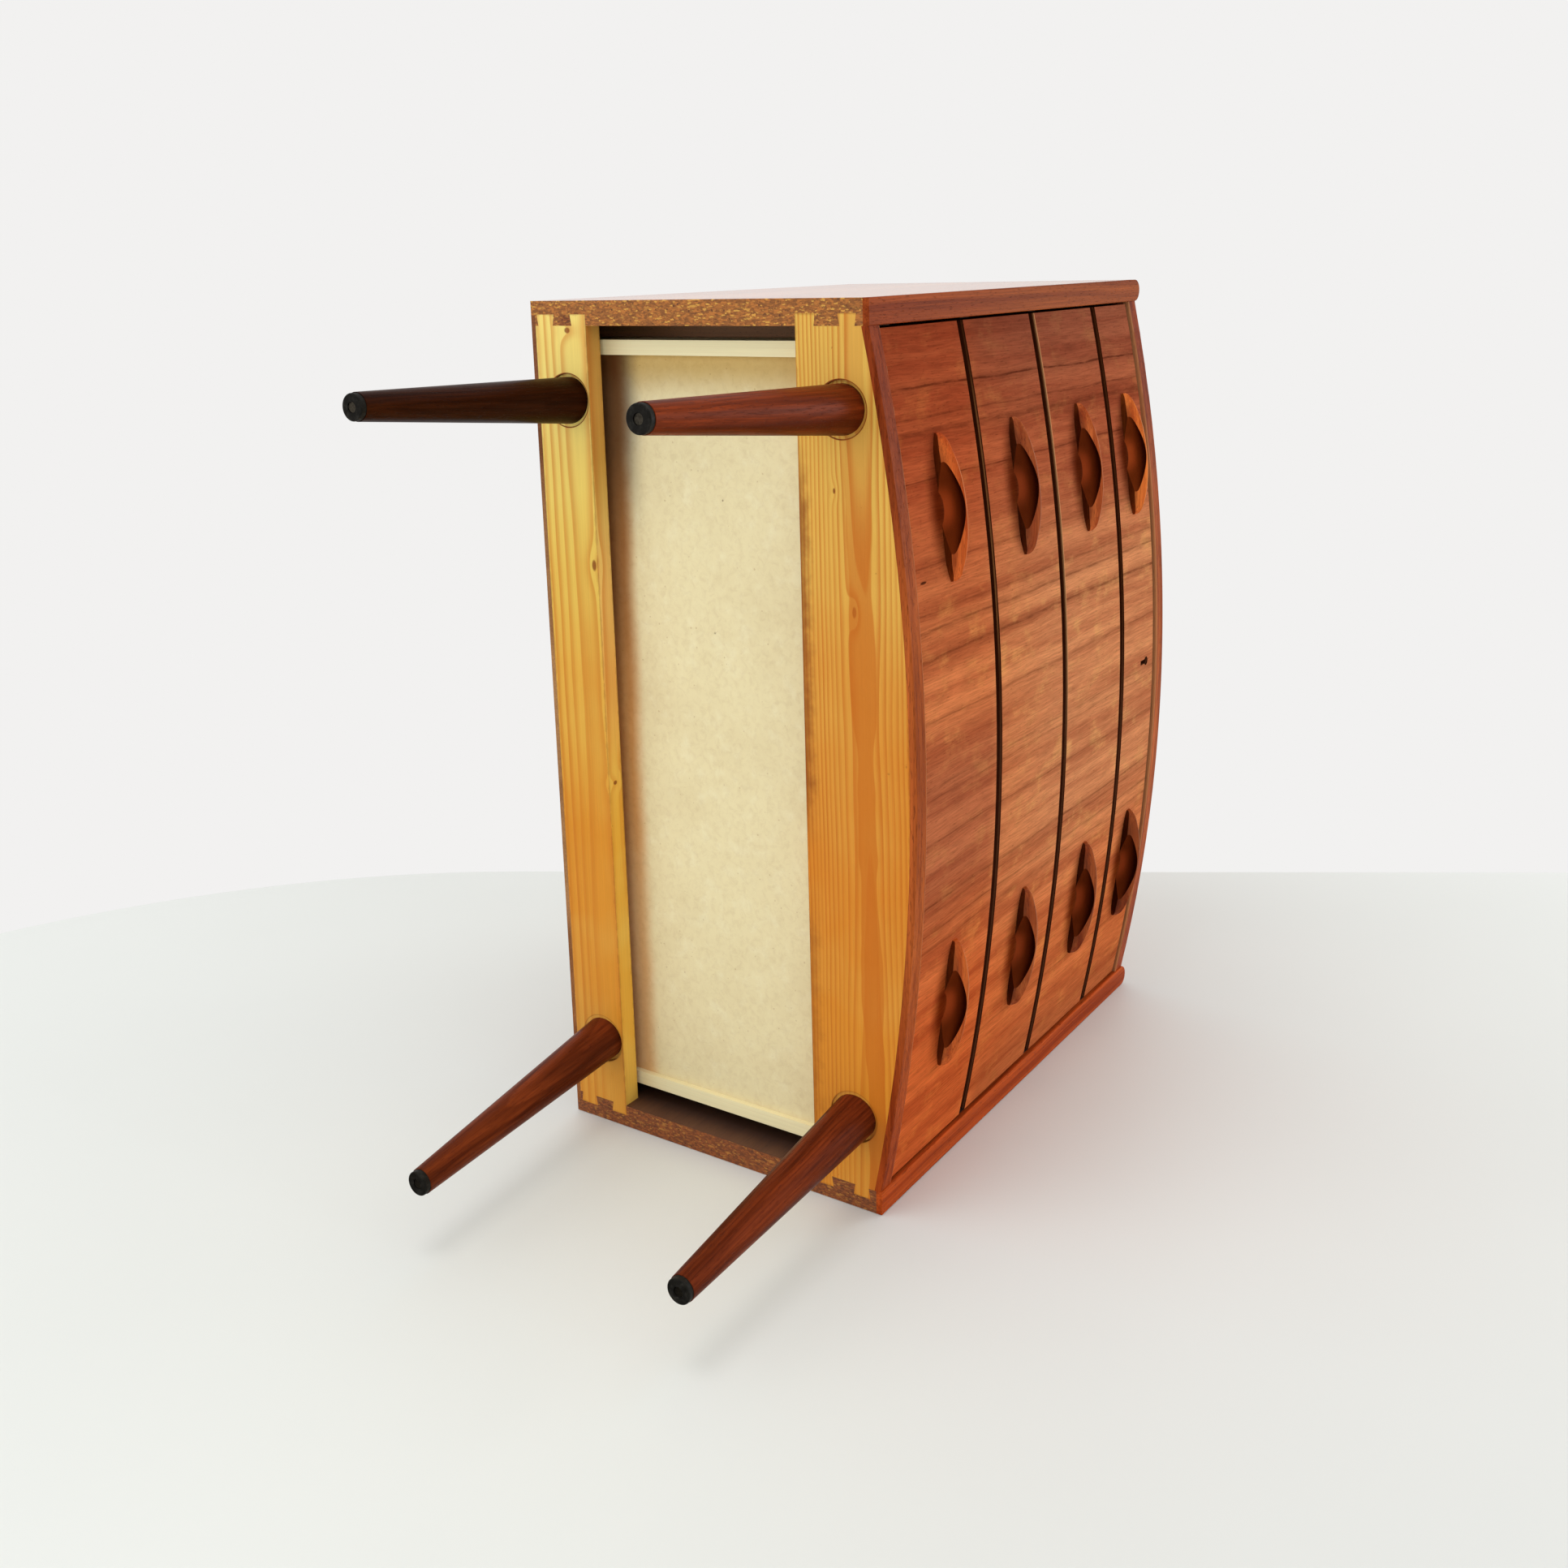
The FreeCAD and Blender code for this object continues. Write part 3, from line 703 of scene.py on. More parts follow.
# Tones of the rear rail, all over and on its front face: from x, to x, and the tone
REAR_TONES = ((-0.19, -0.24, (1.10, 1.20, 1.35)), (-0.24, -0.10, (0.98, 1.0, 0.80)),
              (0.02, 0.12, (1.0, 1.04, 1.35)))
REAR_FACE_TONES = ((-0.20, -0.10, (1.3, 1.28, 2.0)), (-0.05, 0.08, (1.06, 1.48, 1.25)),
                   (-0.14, -0.22, (0.92, 0.68, 0.55)))


def turned_like_grain(point):
    """A point in the coordinates of a grain along X."""
    point = Vector(point)
    point.rotate(Vector(ACROSS).to_track_quat("Z", "Y").inverted())
    return point


def pine(finishes, node, stained):
    """Pine rail along X, with rings, knots, stains and dirt along its arrises."""
    rail = RAILS[node]
    low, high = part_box(node)
    material, tree, shader = new_material("pine_" + node, Roughness=0.45, Specular_IOR_Level=0.08)
    vector = grain_along(tree, ACROSS)
    coordinates = own_coordinates(tree)
    core, bend = 0.0, 0.0
    for *centre, size, along in rail["knots"]:
        centre = [low[axis] if level is None else level for axis, level in enumerate(centre)]
        knot_core, knot_bend = place("Knot", Vector=vector, Centre=turned_like_grain(centre),
                                     Size=size, Along=along)
        core = most(core, knot_core)
        bend = bend + knot_bend
    rings, = place("Growth Rings", Vector=vector,
                   Pith=turned_like_grain((0.0, rail["pith_y"], low.z + rail["pith_rise"])),
                   Ring_Width=rail["ring_width"], Phase=rail["phase"],
                   Waviness=rail["waviness"], Wave_Length=0.4, Bend=bend)
    fibres, _ = place("Fibres", Vector=vector, Fibre_Width=0.0009, Fibre_Length=0.08,
                      Pore_Width=0.0006, Pore_Length=0.01, Pore_Share=0.05)
    x = split(coordinates)[0]
    warmth = calc("ADD", step(x, rail["warm_from"], rail["warm_to"]),
                  noise(coordinates, scale=9.0, detail=3.0) - 0.5, clamp=True)
    base = painted(finishes.pine_pale, (warmth, finishes.pine_warm),
                   (rings * rail["ring_strength"], finishes.pine_ring))
    base = toned(base, step(fibres, 0.2, 0.8, 0.95, 1.04))
    seat_ring, inside = seat_rings(coordinates, nodes_like(node.split("_")[0], "leg_"), low.z)
    dirt, = place("Arrises", Vector=coordinates, Low=low, High=high, Reach=0.0012, Raggedness=1.0)
    base = painted(base, (core * 0.85, finishes.pine_stain), (inside * 0.15, finishes.pine_pale),
                   (seat_ring * step(x, 0.1, -0.1, 0.3, 0.95), finishes.pine_stain),
                   (dirt * 0.3, finishes.pine_stain))
    surface(shader, stained(finishes, base, coordinates), rings + fibres)
    return material


SEAT_RADIUS = 0.018
RING_WIDTH = 0.0004


def seat_rings(coordinates, legs, level):
    """Masks round a rail's legs: the thin dark ring of each seat, and the fresh wood inside it."""
    x, y, z = split(coordinates)
    rings, inside = 0.0, 0.0
    for node in legs:
        seat, tip = leg_axis(node)
        centre = seat.lerp(tip, (seat.z - level) / (seat.z - tip.z))
        beyond = hypot(x - centre.x, y - centre.y) - SEAT_RADIUS
        rings = most(rings, step(beyond, -RING_WIDTH, 0.0)
                     * step(beyond, RING_WIDTH * 2, RING_WIDTH))
        inside = most(inside, step(beyond, RING_WIDTH / 2, -RING_WIDTH / 2))
    return rings, inside


def front_rail_stains(finishes, base, coordinates):
    """The front rail's dark rear edge, and the broad late ring down its middle."""
    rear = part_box("front_rail")[1].y
    x, y, z = split(coordinates)
    ragged = noise(coordinates, scale=120.0, detail=4.0) * 0.012
    upper = step(x, -0.22, -0.17) * step(x, 0.06, 0.0)
    stained = step(rear - y + ragged, 0.017, 0.006) * most(upper, step(x, 0.07, 0.12, 0.0, 0.6))
    base = washed(base, (step(x, 0.18, 0.04), (0.95, 0.80, 0.62)))
    base = mix(stained * 0.7, base, finishes.pine_stain)
    middle_line = RAILS["front_rail"]["pith_y"] + x * -0.016
    wander = (noise(join(x * 7.0, 0.0, 0.0)) - 0.5) * 0.006
    half_width = step(noise(join(x * 11.0, 0.4, 0.0)), 0.35, 0.65, 0.0055, 0.0095)
    beside = abs(y - middle_line + wander) - half_width
    band = step(beside, 0.0006, -0.0006) * step(x, -0.23, -0.1, 0.25, 0.7)
    return mix(band, base, finishes.pine_ring)


def rear_rail_tones(finishes, base, coordinates):
    """The rear rail paler at its ends, and its front face in tones of its own."""
    x = split(coordinates)[0]
    forward = step(surface_normal(tree_of(coordinates))[1], -0.5, -0.9)
    base = washed(base, *[(step(x, start, end), tone) for start, end, tone in REAR_TONES])
    return washed(base, *[(forward * step(x, start, end), tone)
                          for start, end, tone in REAR_FACE_TONES])


class CHEST_OT_rails(ChestOperator):
    """Pine rails with their rings, knots and dirt."""
    bl_idname = "chest.rails"
    bl_label = "Pine rails"

    def execute(self, context):
        finishes = context.scene.chest_finishes
        dress(pine(finishes, "front_rail", front_rail_stains), "front_rail")
        dress(pine(finishes, "rear_rail", rear_rail_tones), "rear_rail")
        return {"FINISHED"}


# Red, green and blue tone of each leg: the wood's own tone with painted light and shade, darkest
# on the rear left leg
LEG_TONES_AND_SHADE = {"leg_rear_left": (0.18, 0.20, 0.17), "leg_front_left": (0.94, 0.72, 0.52),
             "leg_rear_right": (0.74, 0.70, 0.66), "leg_front_right": (0.74, 0.63, 0.58)}


class CHEST_OT_legs(ChestOperator):
    """Turned legs in dark teak, with moulded glides and their nails."""
    bl_idname = "chest.legs"
    bl_label = "Legs and glides"

    def execute(self, context):
        finishes = context.scene.chest_finishes
        for node in nodes_like("leg_"):
            seat, tip = leg_axis(node)
            material, tree, shader = new_material("turned_" + node, Roughness=0.33,
                                                  Specular_IOR_Level=0.03)
            vector = grain_along(tree, seat - tip, tip)
            side = 0.02 if "front" in node else -0.024
            rings, = place("Growth Rings", Vector=vector, Pith=(side, 0.012, 0.0),
                           Ring_Width=0.0026, Phase=0.2, Waviness=0.008, Wave_Length=0.12,
                           Bend=0.0)
            base, height = teak_colour(vector, finishes.leg_pale, finishes.leg_deep,
                                       finishes.leg_deep, 0.008, 0.02, 0.5, 0.4)
            base = mix(rings * 0.45, base, finishes.leg_deep)
            # each leg's tone carries painted light and shade
            surface(shader, washed(base, (1.0, LEG_TONES_AND_SHADE[node])), height)
            dress(material, node)
        dress(moulded_plastic(finishes), *nodes_like("glide_", but="glide_nails"))
        dress(worn_metal("nail_steel", finishes.steel, 0.45), "glide_nails")
        return {"FINISHED"}


def moulded_plastic(finishes):
    """Dark moulded plastic, dusty and scuffed."""
    material, tree, shader = new_material("glide_plastic", Specular_IOR_Level=0.1)
    dust = noise(own_coordinates(tree), scale=260.0, detail=4.0, roughness=0.6)
    pale = [min(1.0, level * 3.2 + 0.01) for level in finishes.glide]
    surface(shader, mix(step(dust, 0.45, 0.75, 0.0, 0.5), finishes.glide, pale), dust, 0.0001,
            Roughness=step(dust, 0.3, 0.7, 0.45, 0.65))
    return material


def worn_metal(name, tone, roughness):
    """Dull metal with stains."""
    material, tree, shader = new_material(name, Metallic=1.0)
    stains = noise(own_coordinates(tree), scale=700.0, detail=4.0, roughness=0.6)
    dark = [level * 0.35 for level in tone]
    surface(shader, mix(step(stains, 0.42, 0.7, 0.0, 0.7), tone, dark), stains, 0.00005,
            Roughness=step(stains, 0.3, 0.7, roughness, roughness + 0.2))
    return material


class CHEST_OT_runners(ChestOperator):
    """Hardwood runners and their brass screws."""
    bl_idname = "chest.runners"
    bl_label = "Runners and screws"

    def execute(self, context):
        finishes = context.scene.chest_finishes
        material, tree, shader = new_material("beech_runners", Roughness=0.55)
        fibres, pores = place(
            "Fibres", Vector=grain_along(tree, FRONT_TO_BACK), Fibre_Width=0.0016,
            Fibre_Length=0.05, Pore_Width=0.0007, Pore_Length=0.003, Pore_Share=0.35)
        base = mix(pores, finishes.beech, finishes.beech_fleck)
        surface(shader, toned(base, step(fibres, 0.2, 0.8, 0.88, 1.08)), fibres, 0.0001)
        dress(material, *nodes_like("runner_", but="runner_screws"))
        dress(worn_metal("screw_brass", finishes.brass, 0.35), "runner_screws")
        return {"FINISHED"}


CHIP_PLACE = (-0.1268, 0.2211)
# Dark lines of the fronts' veneer: place along X, half width and strength
FRONT_LINES = (
    (-0.2435, 0.0009, 0.75), (-0.2257, 0.0008, 0.45), (-0.2168, 0.0022, 0.50),
    (-0.1879, 0.0006, 0.60), (-0.1357, 0.0005, 0.40), (-0.1068, 0.0007, 0.40),
    (-0.0957, 0.0010, 0.55), (-0.0779, 0.0011, 0.60), (-0.0379, 0.0007, 0.40),
    (0.0054, 0.0009, 0.35), (0.0121, 0.0005, 0.35), (0.0421, 0.0007, 0.40),
    (0.0843, 0.0009, 0.50), (0.0909, 0.0005, 0.35), (0.1043, 0.0008, 0.50),
    (0.1154, 0.0012, 0.35), (0.2165, 0.0009, 0.30),
)


def front_veneer(finishes, x, z):
    """Colour and height of one run of straight-grained teak across all four fronts."""
    def grain_noise(side, times_x, times_z, **settings):
        """Noise with so many waves to a metre across and along the grain."""
        return noise(join(side * times_x, 0.0, z * times_z), **settings)

    across = x + (grain_noise(x, 22.0, 9.0, detail=3.0) - 0.5) * 0.006
    bands = grain_noise(across, 60.0, 2.5, detail=3.0, roughness=0.55)
    clouds = grain_noise(x, 45.0, 30.0, detail=4.0, roughness=0.65)
    flecks = grain_noise(x, 700.0, 300.0)
    broken = grain_noise(x, 400.0, 60.0, detail=3.0, roughness=0.6)
    fibres, pores = place("Fibres", Vector=join(across, 0.0, z), Fibre_Width=0.0011,
                          Fibre_Length=0.022, Pore_Width=0.0007, Pore_Length=0.006,
                          Pore_Share=0.35)
    base = painted(finishes.veneer_deep, (step(bands, 0.32, 0.68), finishes.veneer_pale),
                   (step(clouds, 0.5, 0.72, 0.0, 0.7), finishes.veneer_ochre))
    base = toned(base, step(fibres, 0.25, 0.75, 0.80, 1.16))
    lines = 0.0
    for centre, half_width, strength in FRONT_LINES:
        off = abs(across - centre)
        line = step(off, half_width * 1.6, half_width * 0.3, 0.0, strength)
        halo = step(off, half_width * 6.0, half_width, 0.0, strength * 0.35)
        lines = most(lines, most(line, halo))
    base = painted(base, (pores * 0.32, finishes.veneer_streak),
                   (step(flecks, 0.66, 0.78, 0.0, 0.35), finishes.ply_and_highlight),
                   (lines * step(broken, 0.32, 0.6, 0.45, 1.0), finishes.veneer_streak))
    return base, fibres * 0.5 - pores


def front_light_and_shade(base, x, z):
    """Painted light and shade on the fronts: darker towards the left-hand side, redder towards the
    right and at the bottom.
    """
    lowest = step(z, 0.325, 0.295)
    return washed(
        base,
        (step(x, -0.07, -0.19), (0.69, 0.46, 0.45)),
        (step(x, -0.19, -0.285) * step(z, 0.30, 0.34, 0.4, 1.0), (0.64, 0.70, 0.86)),
        (step(x, 0.06, 0.19), (1.0, 0.69, 0.50)),
        (lowest, (0.98, 0.86, 0.80)),
        (step(abs(x - 0.035), 0.085, 0.025) * lowest, (0.76, 0.74, 0.88)),
        (step(x, 0.235, 0.275) * step(z, 0.31, 0.34), (0.76, 0.76, 0.82)),
        (step(z, 0.43, 0.30), (1.0, 0.88, 0.78)))


def handle_shade_and_grime(x, z):
    """Soft dark patches on the fronts, below the handles of both sides: painted shade under the
    handles, with grime.
    """
    patches = 0.0
    for number in DRAWERS:
        low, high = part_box("drawer_%d_handle_right" % number)
        centre_x = (low.x + high.x) / 2
        away = hypot((abs(x) - centre_x) / 0.034, (z - low.z) / 0.012)
        patches = most(patches, step(away, 1.5, 0.15))
    return patches


class CHEST_OT_fronts(ChestOperator):
    """Bent drawer fronts: one run of veneer across all four, and stained edges with a ply line."""
    bl_idname = "chest.fronts"
    bl_label = "Drawer fronts"

    def execute(self, context):
        finishes = context.scene.chest_finishes
        centre_y, radius = bow_of("drawer_1_front")
        material, tree, shader = new_material("veneered_fronts", Specular_IOR_Level=0.0)
        x, y, z = split(own_coordinates(tree))
        veneer, height = front_veneer(finishes, x, z)
        # painted light and shade over the fronts, and painted shade with grime below the handles
        veneer = washed(front_light_and_shade(veneer, x, z), (handle_shade_and_grime(x, z), (0.30, 0.19, 0.11)))
        # a small chip in the lowest front, and a painted highlight along the lower arris of the
        # third
        chip_x, chip_z = CHIP_PLACE
        chip = hypot((x - chip_x) / 0.0009, (z - chip_z) / 0.004)
        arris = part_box("drawer_3_front")[0].z + 0.0005
        arris_highlights = step(abs(z - arris), 0.0007, 0.0004) * step(x, 0.06, -0.04)
        veneer = painted(veneer, (step(chip, 1.2, 0.7, 0.0, 0.85), finishes.grime_and_shade),
                         (arris_highlights * 0.8, finishes.ply_and_highlight))
        # the edges: stained, with a pale ply line that shows where they are rubbed
        depth = radius - hypot(x, y - centre_y)
        ply = step(depth, 0.0006, 0.001) * step(depth, 0.0021, 0.0017)
        rubbed = (step(x, -0.04, -0.10) * step(x, -0.26, -0.21)
                  * step(z, 0.36, 0.34, 0.0, 0.6))
        edge = mix(ply * (rubbed + 0.12), finishes.front_edge, finishes.ply_and_highlight)
        # painted shade: the edges darker towards the left-hand side
        edge = washed(edge, (step(x, 0.02, -0.06), (0.74, 0.64, 0.50)))
        # the third front's painted arris highlight, carried onto its edge
        edge = mix(arris_highlights * step(depth, 0.0013, 0.0006), edge, finishes.ply_and_highlight)
        sawn = step(abs(surface_normal(tree)[1]), 0.7, 0.4)
        surface(shader, mix(sawn, veneer, edge), height * (1.0 - sawn),
                Roughness=step(sawn, 0.0, 1.0, 0.4, 0.6))
        dress(material, *["drawer_%d_front" % number for number in DRAWERS])
        return {"FINISHED"}


# Tints of each drawer's handles, left-hand and right-hand
HANDLE_TINTS = {
    1: ((1.06, 0.86, 0.72), (0.92, 0.80, 0.74)),
    2: ((0.62, 0.60, 0.80), (0.60, 0.58, 0.70)),
    3: ((0.80, 0.72, 0.80), (0.48, 0.42, 0.50)),
    4: ((1.22, 1.20, 1.0), (0.42, 0.36, 0.40)),
}
HOLLOW_HALF = 0.045  # from the middle of a handle to the end of its hollow


def carved_teak(finishes, number):
    """Teak of a drawer's handles: painted highlight on the crest, painted shade with grime
    underneath, and painted light and shade in the hollow.
    """
    low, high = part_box("drawer_%d_handle_right" % number)
    centre_y, radius = bow_of("drawer_%d_front" % number)
    turn = math.asin((low.x + high.x) / 2 / radius)
    cosine, sine = math.cos(turn), math.sin(turn)
    material, tree, shader = new_material("carved_handles_%d" % number, Specular_IOR_Level=0.0,
                                          Coat_Roughness=0.22)
    wood, height = teak_colour(grain_along(tree, ACROSS), finishes.handle_pale,
                               finishes.handle_deep, finishes.veneer_streak, 0.007, 0.02, 0.25,
                               0.35)
    # along the handle, out from the bow, and up from the handle's lower edge
    side, y, z = split(own_coordinates(tree))
    x, y = abs(side), y - centre_y
    from_middle = abs(x * cosine + y * sine)
    out = x * sine - y * cosine - radius
    up = z - low.z
    # the hollow, slender towards its ends
    turns = least(from_middle, HOLLOW_HALF) * (math.pi / HOLLOW_HALF)
    swell = calc("MULTIPLY_ADD", calc("COSINE", turns), 0.48, 0.52)
    within = hypot((out - 0.0075) / 0.009, (up + 0.003) / 0.0163)
    inside = step(within / swell, 1.04, 1.015)
    normal = surface_normal(tree)
    below = step(normal[2], -0.66, -0.82, 0.0, 0.75)
    # painted highlight along the crest, and painted shade with grime on the downward faces
    crest_highlight = step(normal[1], -0.9, -0.95) * step(abs(normal[2]), 0.3, 0.2)
    wood = painted(wood, (crest_highlight * 0.5, finishes.ply_and_highlight), (below, finishes.grime_and_shade))
    # painted shade, darker towards the handle's lower edge
    wood = toned(wood, step(up, 0.0, 0.006, 0.55, 1.0))
    # painted light and shade in the hollow: a lit glow in its middle, darkest shade under its rim
    glow = step(from_middle, 0.018, 0.002) * step(out, 0.006, 0.001)
    hollow = painted(finishes.hollow_shade, (glow, finishes.hollow_painted_light),
                     (step(out, 0.0045, 0.0105), finishes.hollow_rim_shade))
    tint = mix(step(side, -0.01, 0.01), *HANDLE_TINTS[number])
    base = mix(inside, washed(wood, (1.0, tint)), washed(hollow, (0.5, tint)))
    surface(shader, base, height, 0.0001,
            Coat_Weight=step(most(inside, below), 0.0, 1.0, 0.18, 0.0))
    return material


class CHEST_OT_handles(ChestOperator):
    """Carved lip handles of the drawers."""
    bl_idname = "chest.handles"
    bl_label = "Handles"

    def execute(self, context):
        for number in DRAWERS:
            dress(carved_teak(context.scene.chest_finishes, number),
                  *nodes_like("drawer_%d_handle" % number))
        return {"FINISHED"}


class CHEST_OT_boxes(ChestOperator):
    """Softwood sides and backs of the drawers, and their hardboard bottoms."""
    bl_idname = "chest.boxes"
    bl_label = "Drawer boxes"

    def execute(self, context):
        finishes = context.scene.chest_finishes
        dress(softwood("softwood_sides", finishes, FRONT_TO_BACK), *nodes_like("_side_", "drawer"))
        dress(softwood("softwood_backs", finishes, ACROSS), *nodes_like("_back", "drawer"))
        dress(hardboard(finishes), *nodes_like("_bottom"))
        return {"FINISHED"}


def softwood(name, finishes, axis):
    """Plain sawn softwood with faint rings."""
    material, tree, shader = new_material(name, Roughness=0.6)
    vector = grain_along(tree, axis)
    rings, = place("Growth Rings", Vector=vector, Pith=(0.03, 0.05, 0.0), Ring_Width=0.003,
                   Phase=0.0, Waviness=0.006, Wave_Length=0.3, Bend=0.0)
    fibres, _ = place("Fibres", Vector=vector, Fibre_Width=0.001, Fibre_Length=0.06,
                      Pore_Width=0.0006, Pore_Length=0.006, Pore_Share=0.05)
    base = mix(rings * 0.15, finishes.softwood, finishes.softwood_ring)
    surface(shader, toned(base, step(fibres, 0.2, 0.8, 0.96, 1.03)), fibres, 0.0001)
    return material


def hardboard(finishes):
    """Hardboard with mottle, flecks and spots, a painted shadow of the rear rail beside it, darker
    in the corner by the rail and towards the left-hand edge.
    """
    material, tree, shader = new_material("hardboard", Roughness=0.65, Specular_IOR_Level=0.2)
    coordinates = own_coordinates(tree)
    clouds = noise(coordinates, scale=16.0, detail=4.0, roughness=0.6)
    mottle = noise(coordinates, scale=170.0, detail=6.0, roughness=0.72, distortion=0.6)
    pale = noise(coordinates, scale=95.0, detail=3.0, roughness=0.6)
    flecks, = place("Specks", Vector=coordinates, Spacing=0.0045, Size=0.0007, Share=0.22)
    spots, = place("Specks", Vector=coordinates, Spacing=0.03, Size=0.0013, Share=0.4)
    base = painted(
        finishes.hardboard_pale,
        (step(clouds, 0.4, 0.8, 0.0, 0.14), finishes.hardboard_fleck),
        (step(mottle, 0.42, 0.72, 0.0, 0.17), finishes.hardboard_fleck),
        (step(pale, 0.5, 0.75, 0.0, 0.2), (1.0, 0.96, 0.70)),
        (flecks * 0.35, finishes.hardboard_fleck),
        (spots * 0.6, finishes.chip_dark))
    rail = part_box("rear_rail")[0].y
    x, y, z = split(coordinates)
    drift = (noise(coordinates, scale=24.0, detail=4.0) - 0.5) * 0.008
    behind = y + drift
    # painted shadow of the rear rail, in a band beside it and deeper towards the left-hand side
    rail_shadow = step(behind, rail - 0.019, rail - 0.004)
    corner = step(x, -0.12, -0.22) * step(behind, rail - 0.030, rail - 0.012)
    base = washed(
        base,
        (rail_shadow * step(x, 0.04, 0.14, 1.0, 0.75), (0.80, 0.46, 0.25)),
        (rail_shadow * step(x, 0.02, -0.12), (0.62, 0.56, 0.55)),
        (corner, (0.40, 0.40, 0.44)),
        (step(x + drift, -0.230, -0.258), (0.72, 0.57, 0.34)))
    surface(shader, base, mottle)
    return material


class CHEST_OT_lock(ChestOperator):
    """Lock case behind the keyhole of the top drawer."""
    bl_idname = "chest.lock"
    bl_label = "Lock"

    def execute(self, context):
        dress(worn_metal("lock_brass", context.scene.chest_finishes.brass, 0.4), "lock_case")
        return {"FINISHED"}


class CHEST_OT_back(ChestOperator):
    """Plywood back, with the panel nails along its edges."""
    bl_idname = "chest.back"
    bl_label = "Back panel and nails"

    def execute(self, context):
        finishes = context.scene.chest_finishes
        dress(teak("back_plywood", UPRIGHT, finishes.back_board, finishes.back_board_deep,
                   finishes.back_board_deep, stripe_width=0.05, line_share=0.2, pore_share=0.3,
                   roughness=0.65), "back_panel")
        heads = row_of_nails(context.scene.chest_nails)
        heads.data.materials.clear()
        heads.data.materials.append(worn_metal("panel_nail_steel", finishes.steel, 0.5))
        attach(heads, "case")
        return {"FINISHED"}


def nail_tree():
    """Nodes that set a nail's head at even steps along a line."""
    tree = bpy.data.node_groups.new("Panel Nails", "GeometryNodeTree")
    sockets = [("Geometry", "NodeSocketGeometry"), ("Spacing", "NodeSocketFloat"),
               ("Head Radius", "NodeSocketFloat"), ("Head Rise", "NodeSocketFloat"),
               ("Drift", "NodeSocketFloat"), ("Material", "NodeSocketMaterial")]
    for label, kind in sockets:
        tree.interface.new_socket(label, in_out="INPUT", socket_type=kind)
    tree.interface.new_socket("Geometry", in_out="OUTPUT", socket_type="NodeSocketGeometry")
    given = add(tree, "NodeGroupInput").outputs
    out = add(tree, "NodeGroupOutput").inputs

    path = add(tree, "GeometryNodeMeshToCurve", {0: given["Geometry"]})
    steps = add(tree, "GeometryNodeCurveToPoints",
                {"Curve": path.outputs[0], "Length": given["Spacing"]}, mode="LENGTH")
    stray = add(tree, "FunctionNodeRandomValue",
                {"Min": (-1.0, 0.0, -1.0), "Max": (1.0, 0.0, 1.0), "Seed": 7},
                data_type="FLOAT_VECTOR")
    scaled = add(tree, "ShaderNodeVectorMath",
                 {0: stray.outputs[0], "Scale": given["Drift"]}, operation="SCALE")
    moved = add(tree, "GeometryNodeSetPosition",
                {"Geometry": steps.outputs["Points"], "Offset": scaled.outputs[0]})
    head = add(tree, "GeometryNodeMeshUVSphere", {"Segments": 12, "Rings": 6, "Radius": 1.0})
    size = add(tree, "ShaderNodeCombineXYZ",
               {0: given["Head Radius"], 1: given["Head Rise"], 2: given["Head Radius"]})
    heads = add(tree, "GeometryNodeInstanceOnPoints",
                {"Points": moved.outputs[0], "Instance": head.outputs[0],
                 "Scale": size.outputs[0]})
    real = add(tree, "GeometryNodeRealizeInstances", {0: heads.outputs[0]})
    finish = add(tree, "GeometryNodeSetMaterial",
                 {"Geometry": real.outputs[0], "Material": given["Material"]})
    feed(out[0], finish.outputs[0])
    return tree


def placed(name, data):
    """A new object of the scene that shows this data."""
    holder = bpy.data.objects.new(name, data)
    bpy.context.scene.collection.objects.link(holder)
    return holder


def row_of_nails(nails):
    """Panel nails round three sides of the back, as one mesh."""
    low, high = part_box("back_panel")
    inset = nails.edge_distance
    left, right = low.x + inset, high.x - inset
    bottom, top = low.z + inset * 2, high.z - inset
    outline = bpy.data.meshes.new("nail_line")
    corners = [(left, high.y, bottom), (left, high.y, top), (right, high.y, top),
               (right, high.y, bottom)]
    outline.from_pydata(corners, [(0, 1), (1, 2), (2, 3)], [])
    holder = placed("back_nails", outline)
    tree = nail_tree()
    modifier = holder.modifiers.new("Nails", "NODES")
    modifier.node_group = tree
    values = {"Spacing": nails.spacing, "Head Radius": nails.head_radius,
              "Head Rise": nails.head_rise, "Drift": nails.drift}
    for item in tree.interface.items_tree:
        if item.in_out == "INPUT" and item.name in values:
            modifier[item.identifier] = values[item.name]
    bpy.context.view_layer.update()
    evaluated = holder.evaluated_get(bpy.context.evaluated_depsgraph_get())
    made = bpy.data.meshes.new_from_object(evaluated)
    if not made.polygons:
        raise RuntimeError("the panel nails came out empty")
    holder.modifiers.clear()
    holder.data = made
    for polygon in made.polygons:
        polygon.use_smooth = True
    return holder


# Name, direction from the chest and size of each lamp; its power is the setting of that name
LAMPS = (("ceiling_light", (-0.95, 0.05, -0.30), 0.9), ("window_light", (-0.35, 0.55, -0.75), 2.0),
         ("front_light", (-0.15, -0.60, 0.75), 1.0))
LAMP_DISTANCE = 2.0


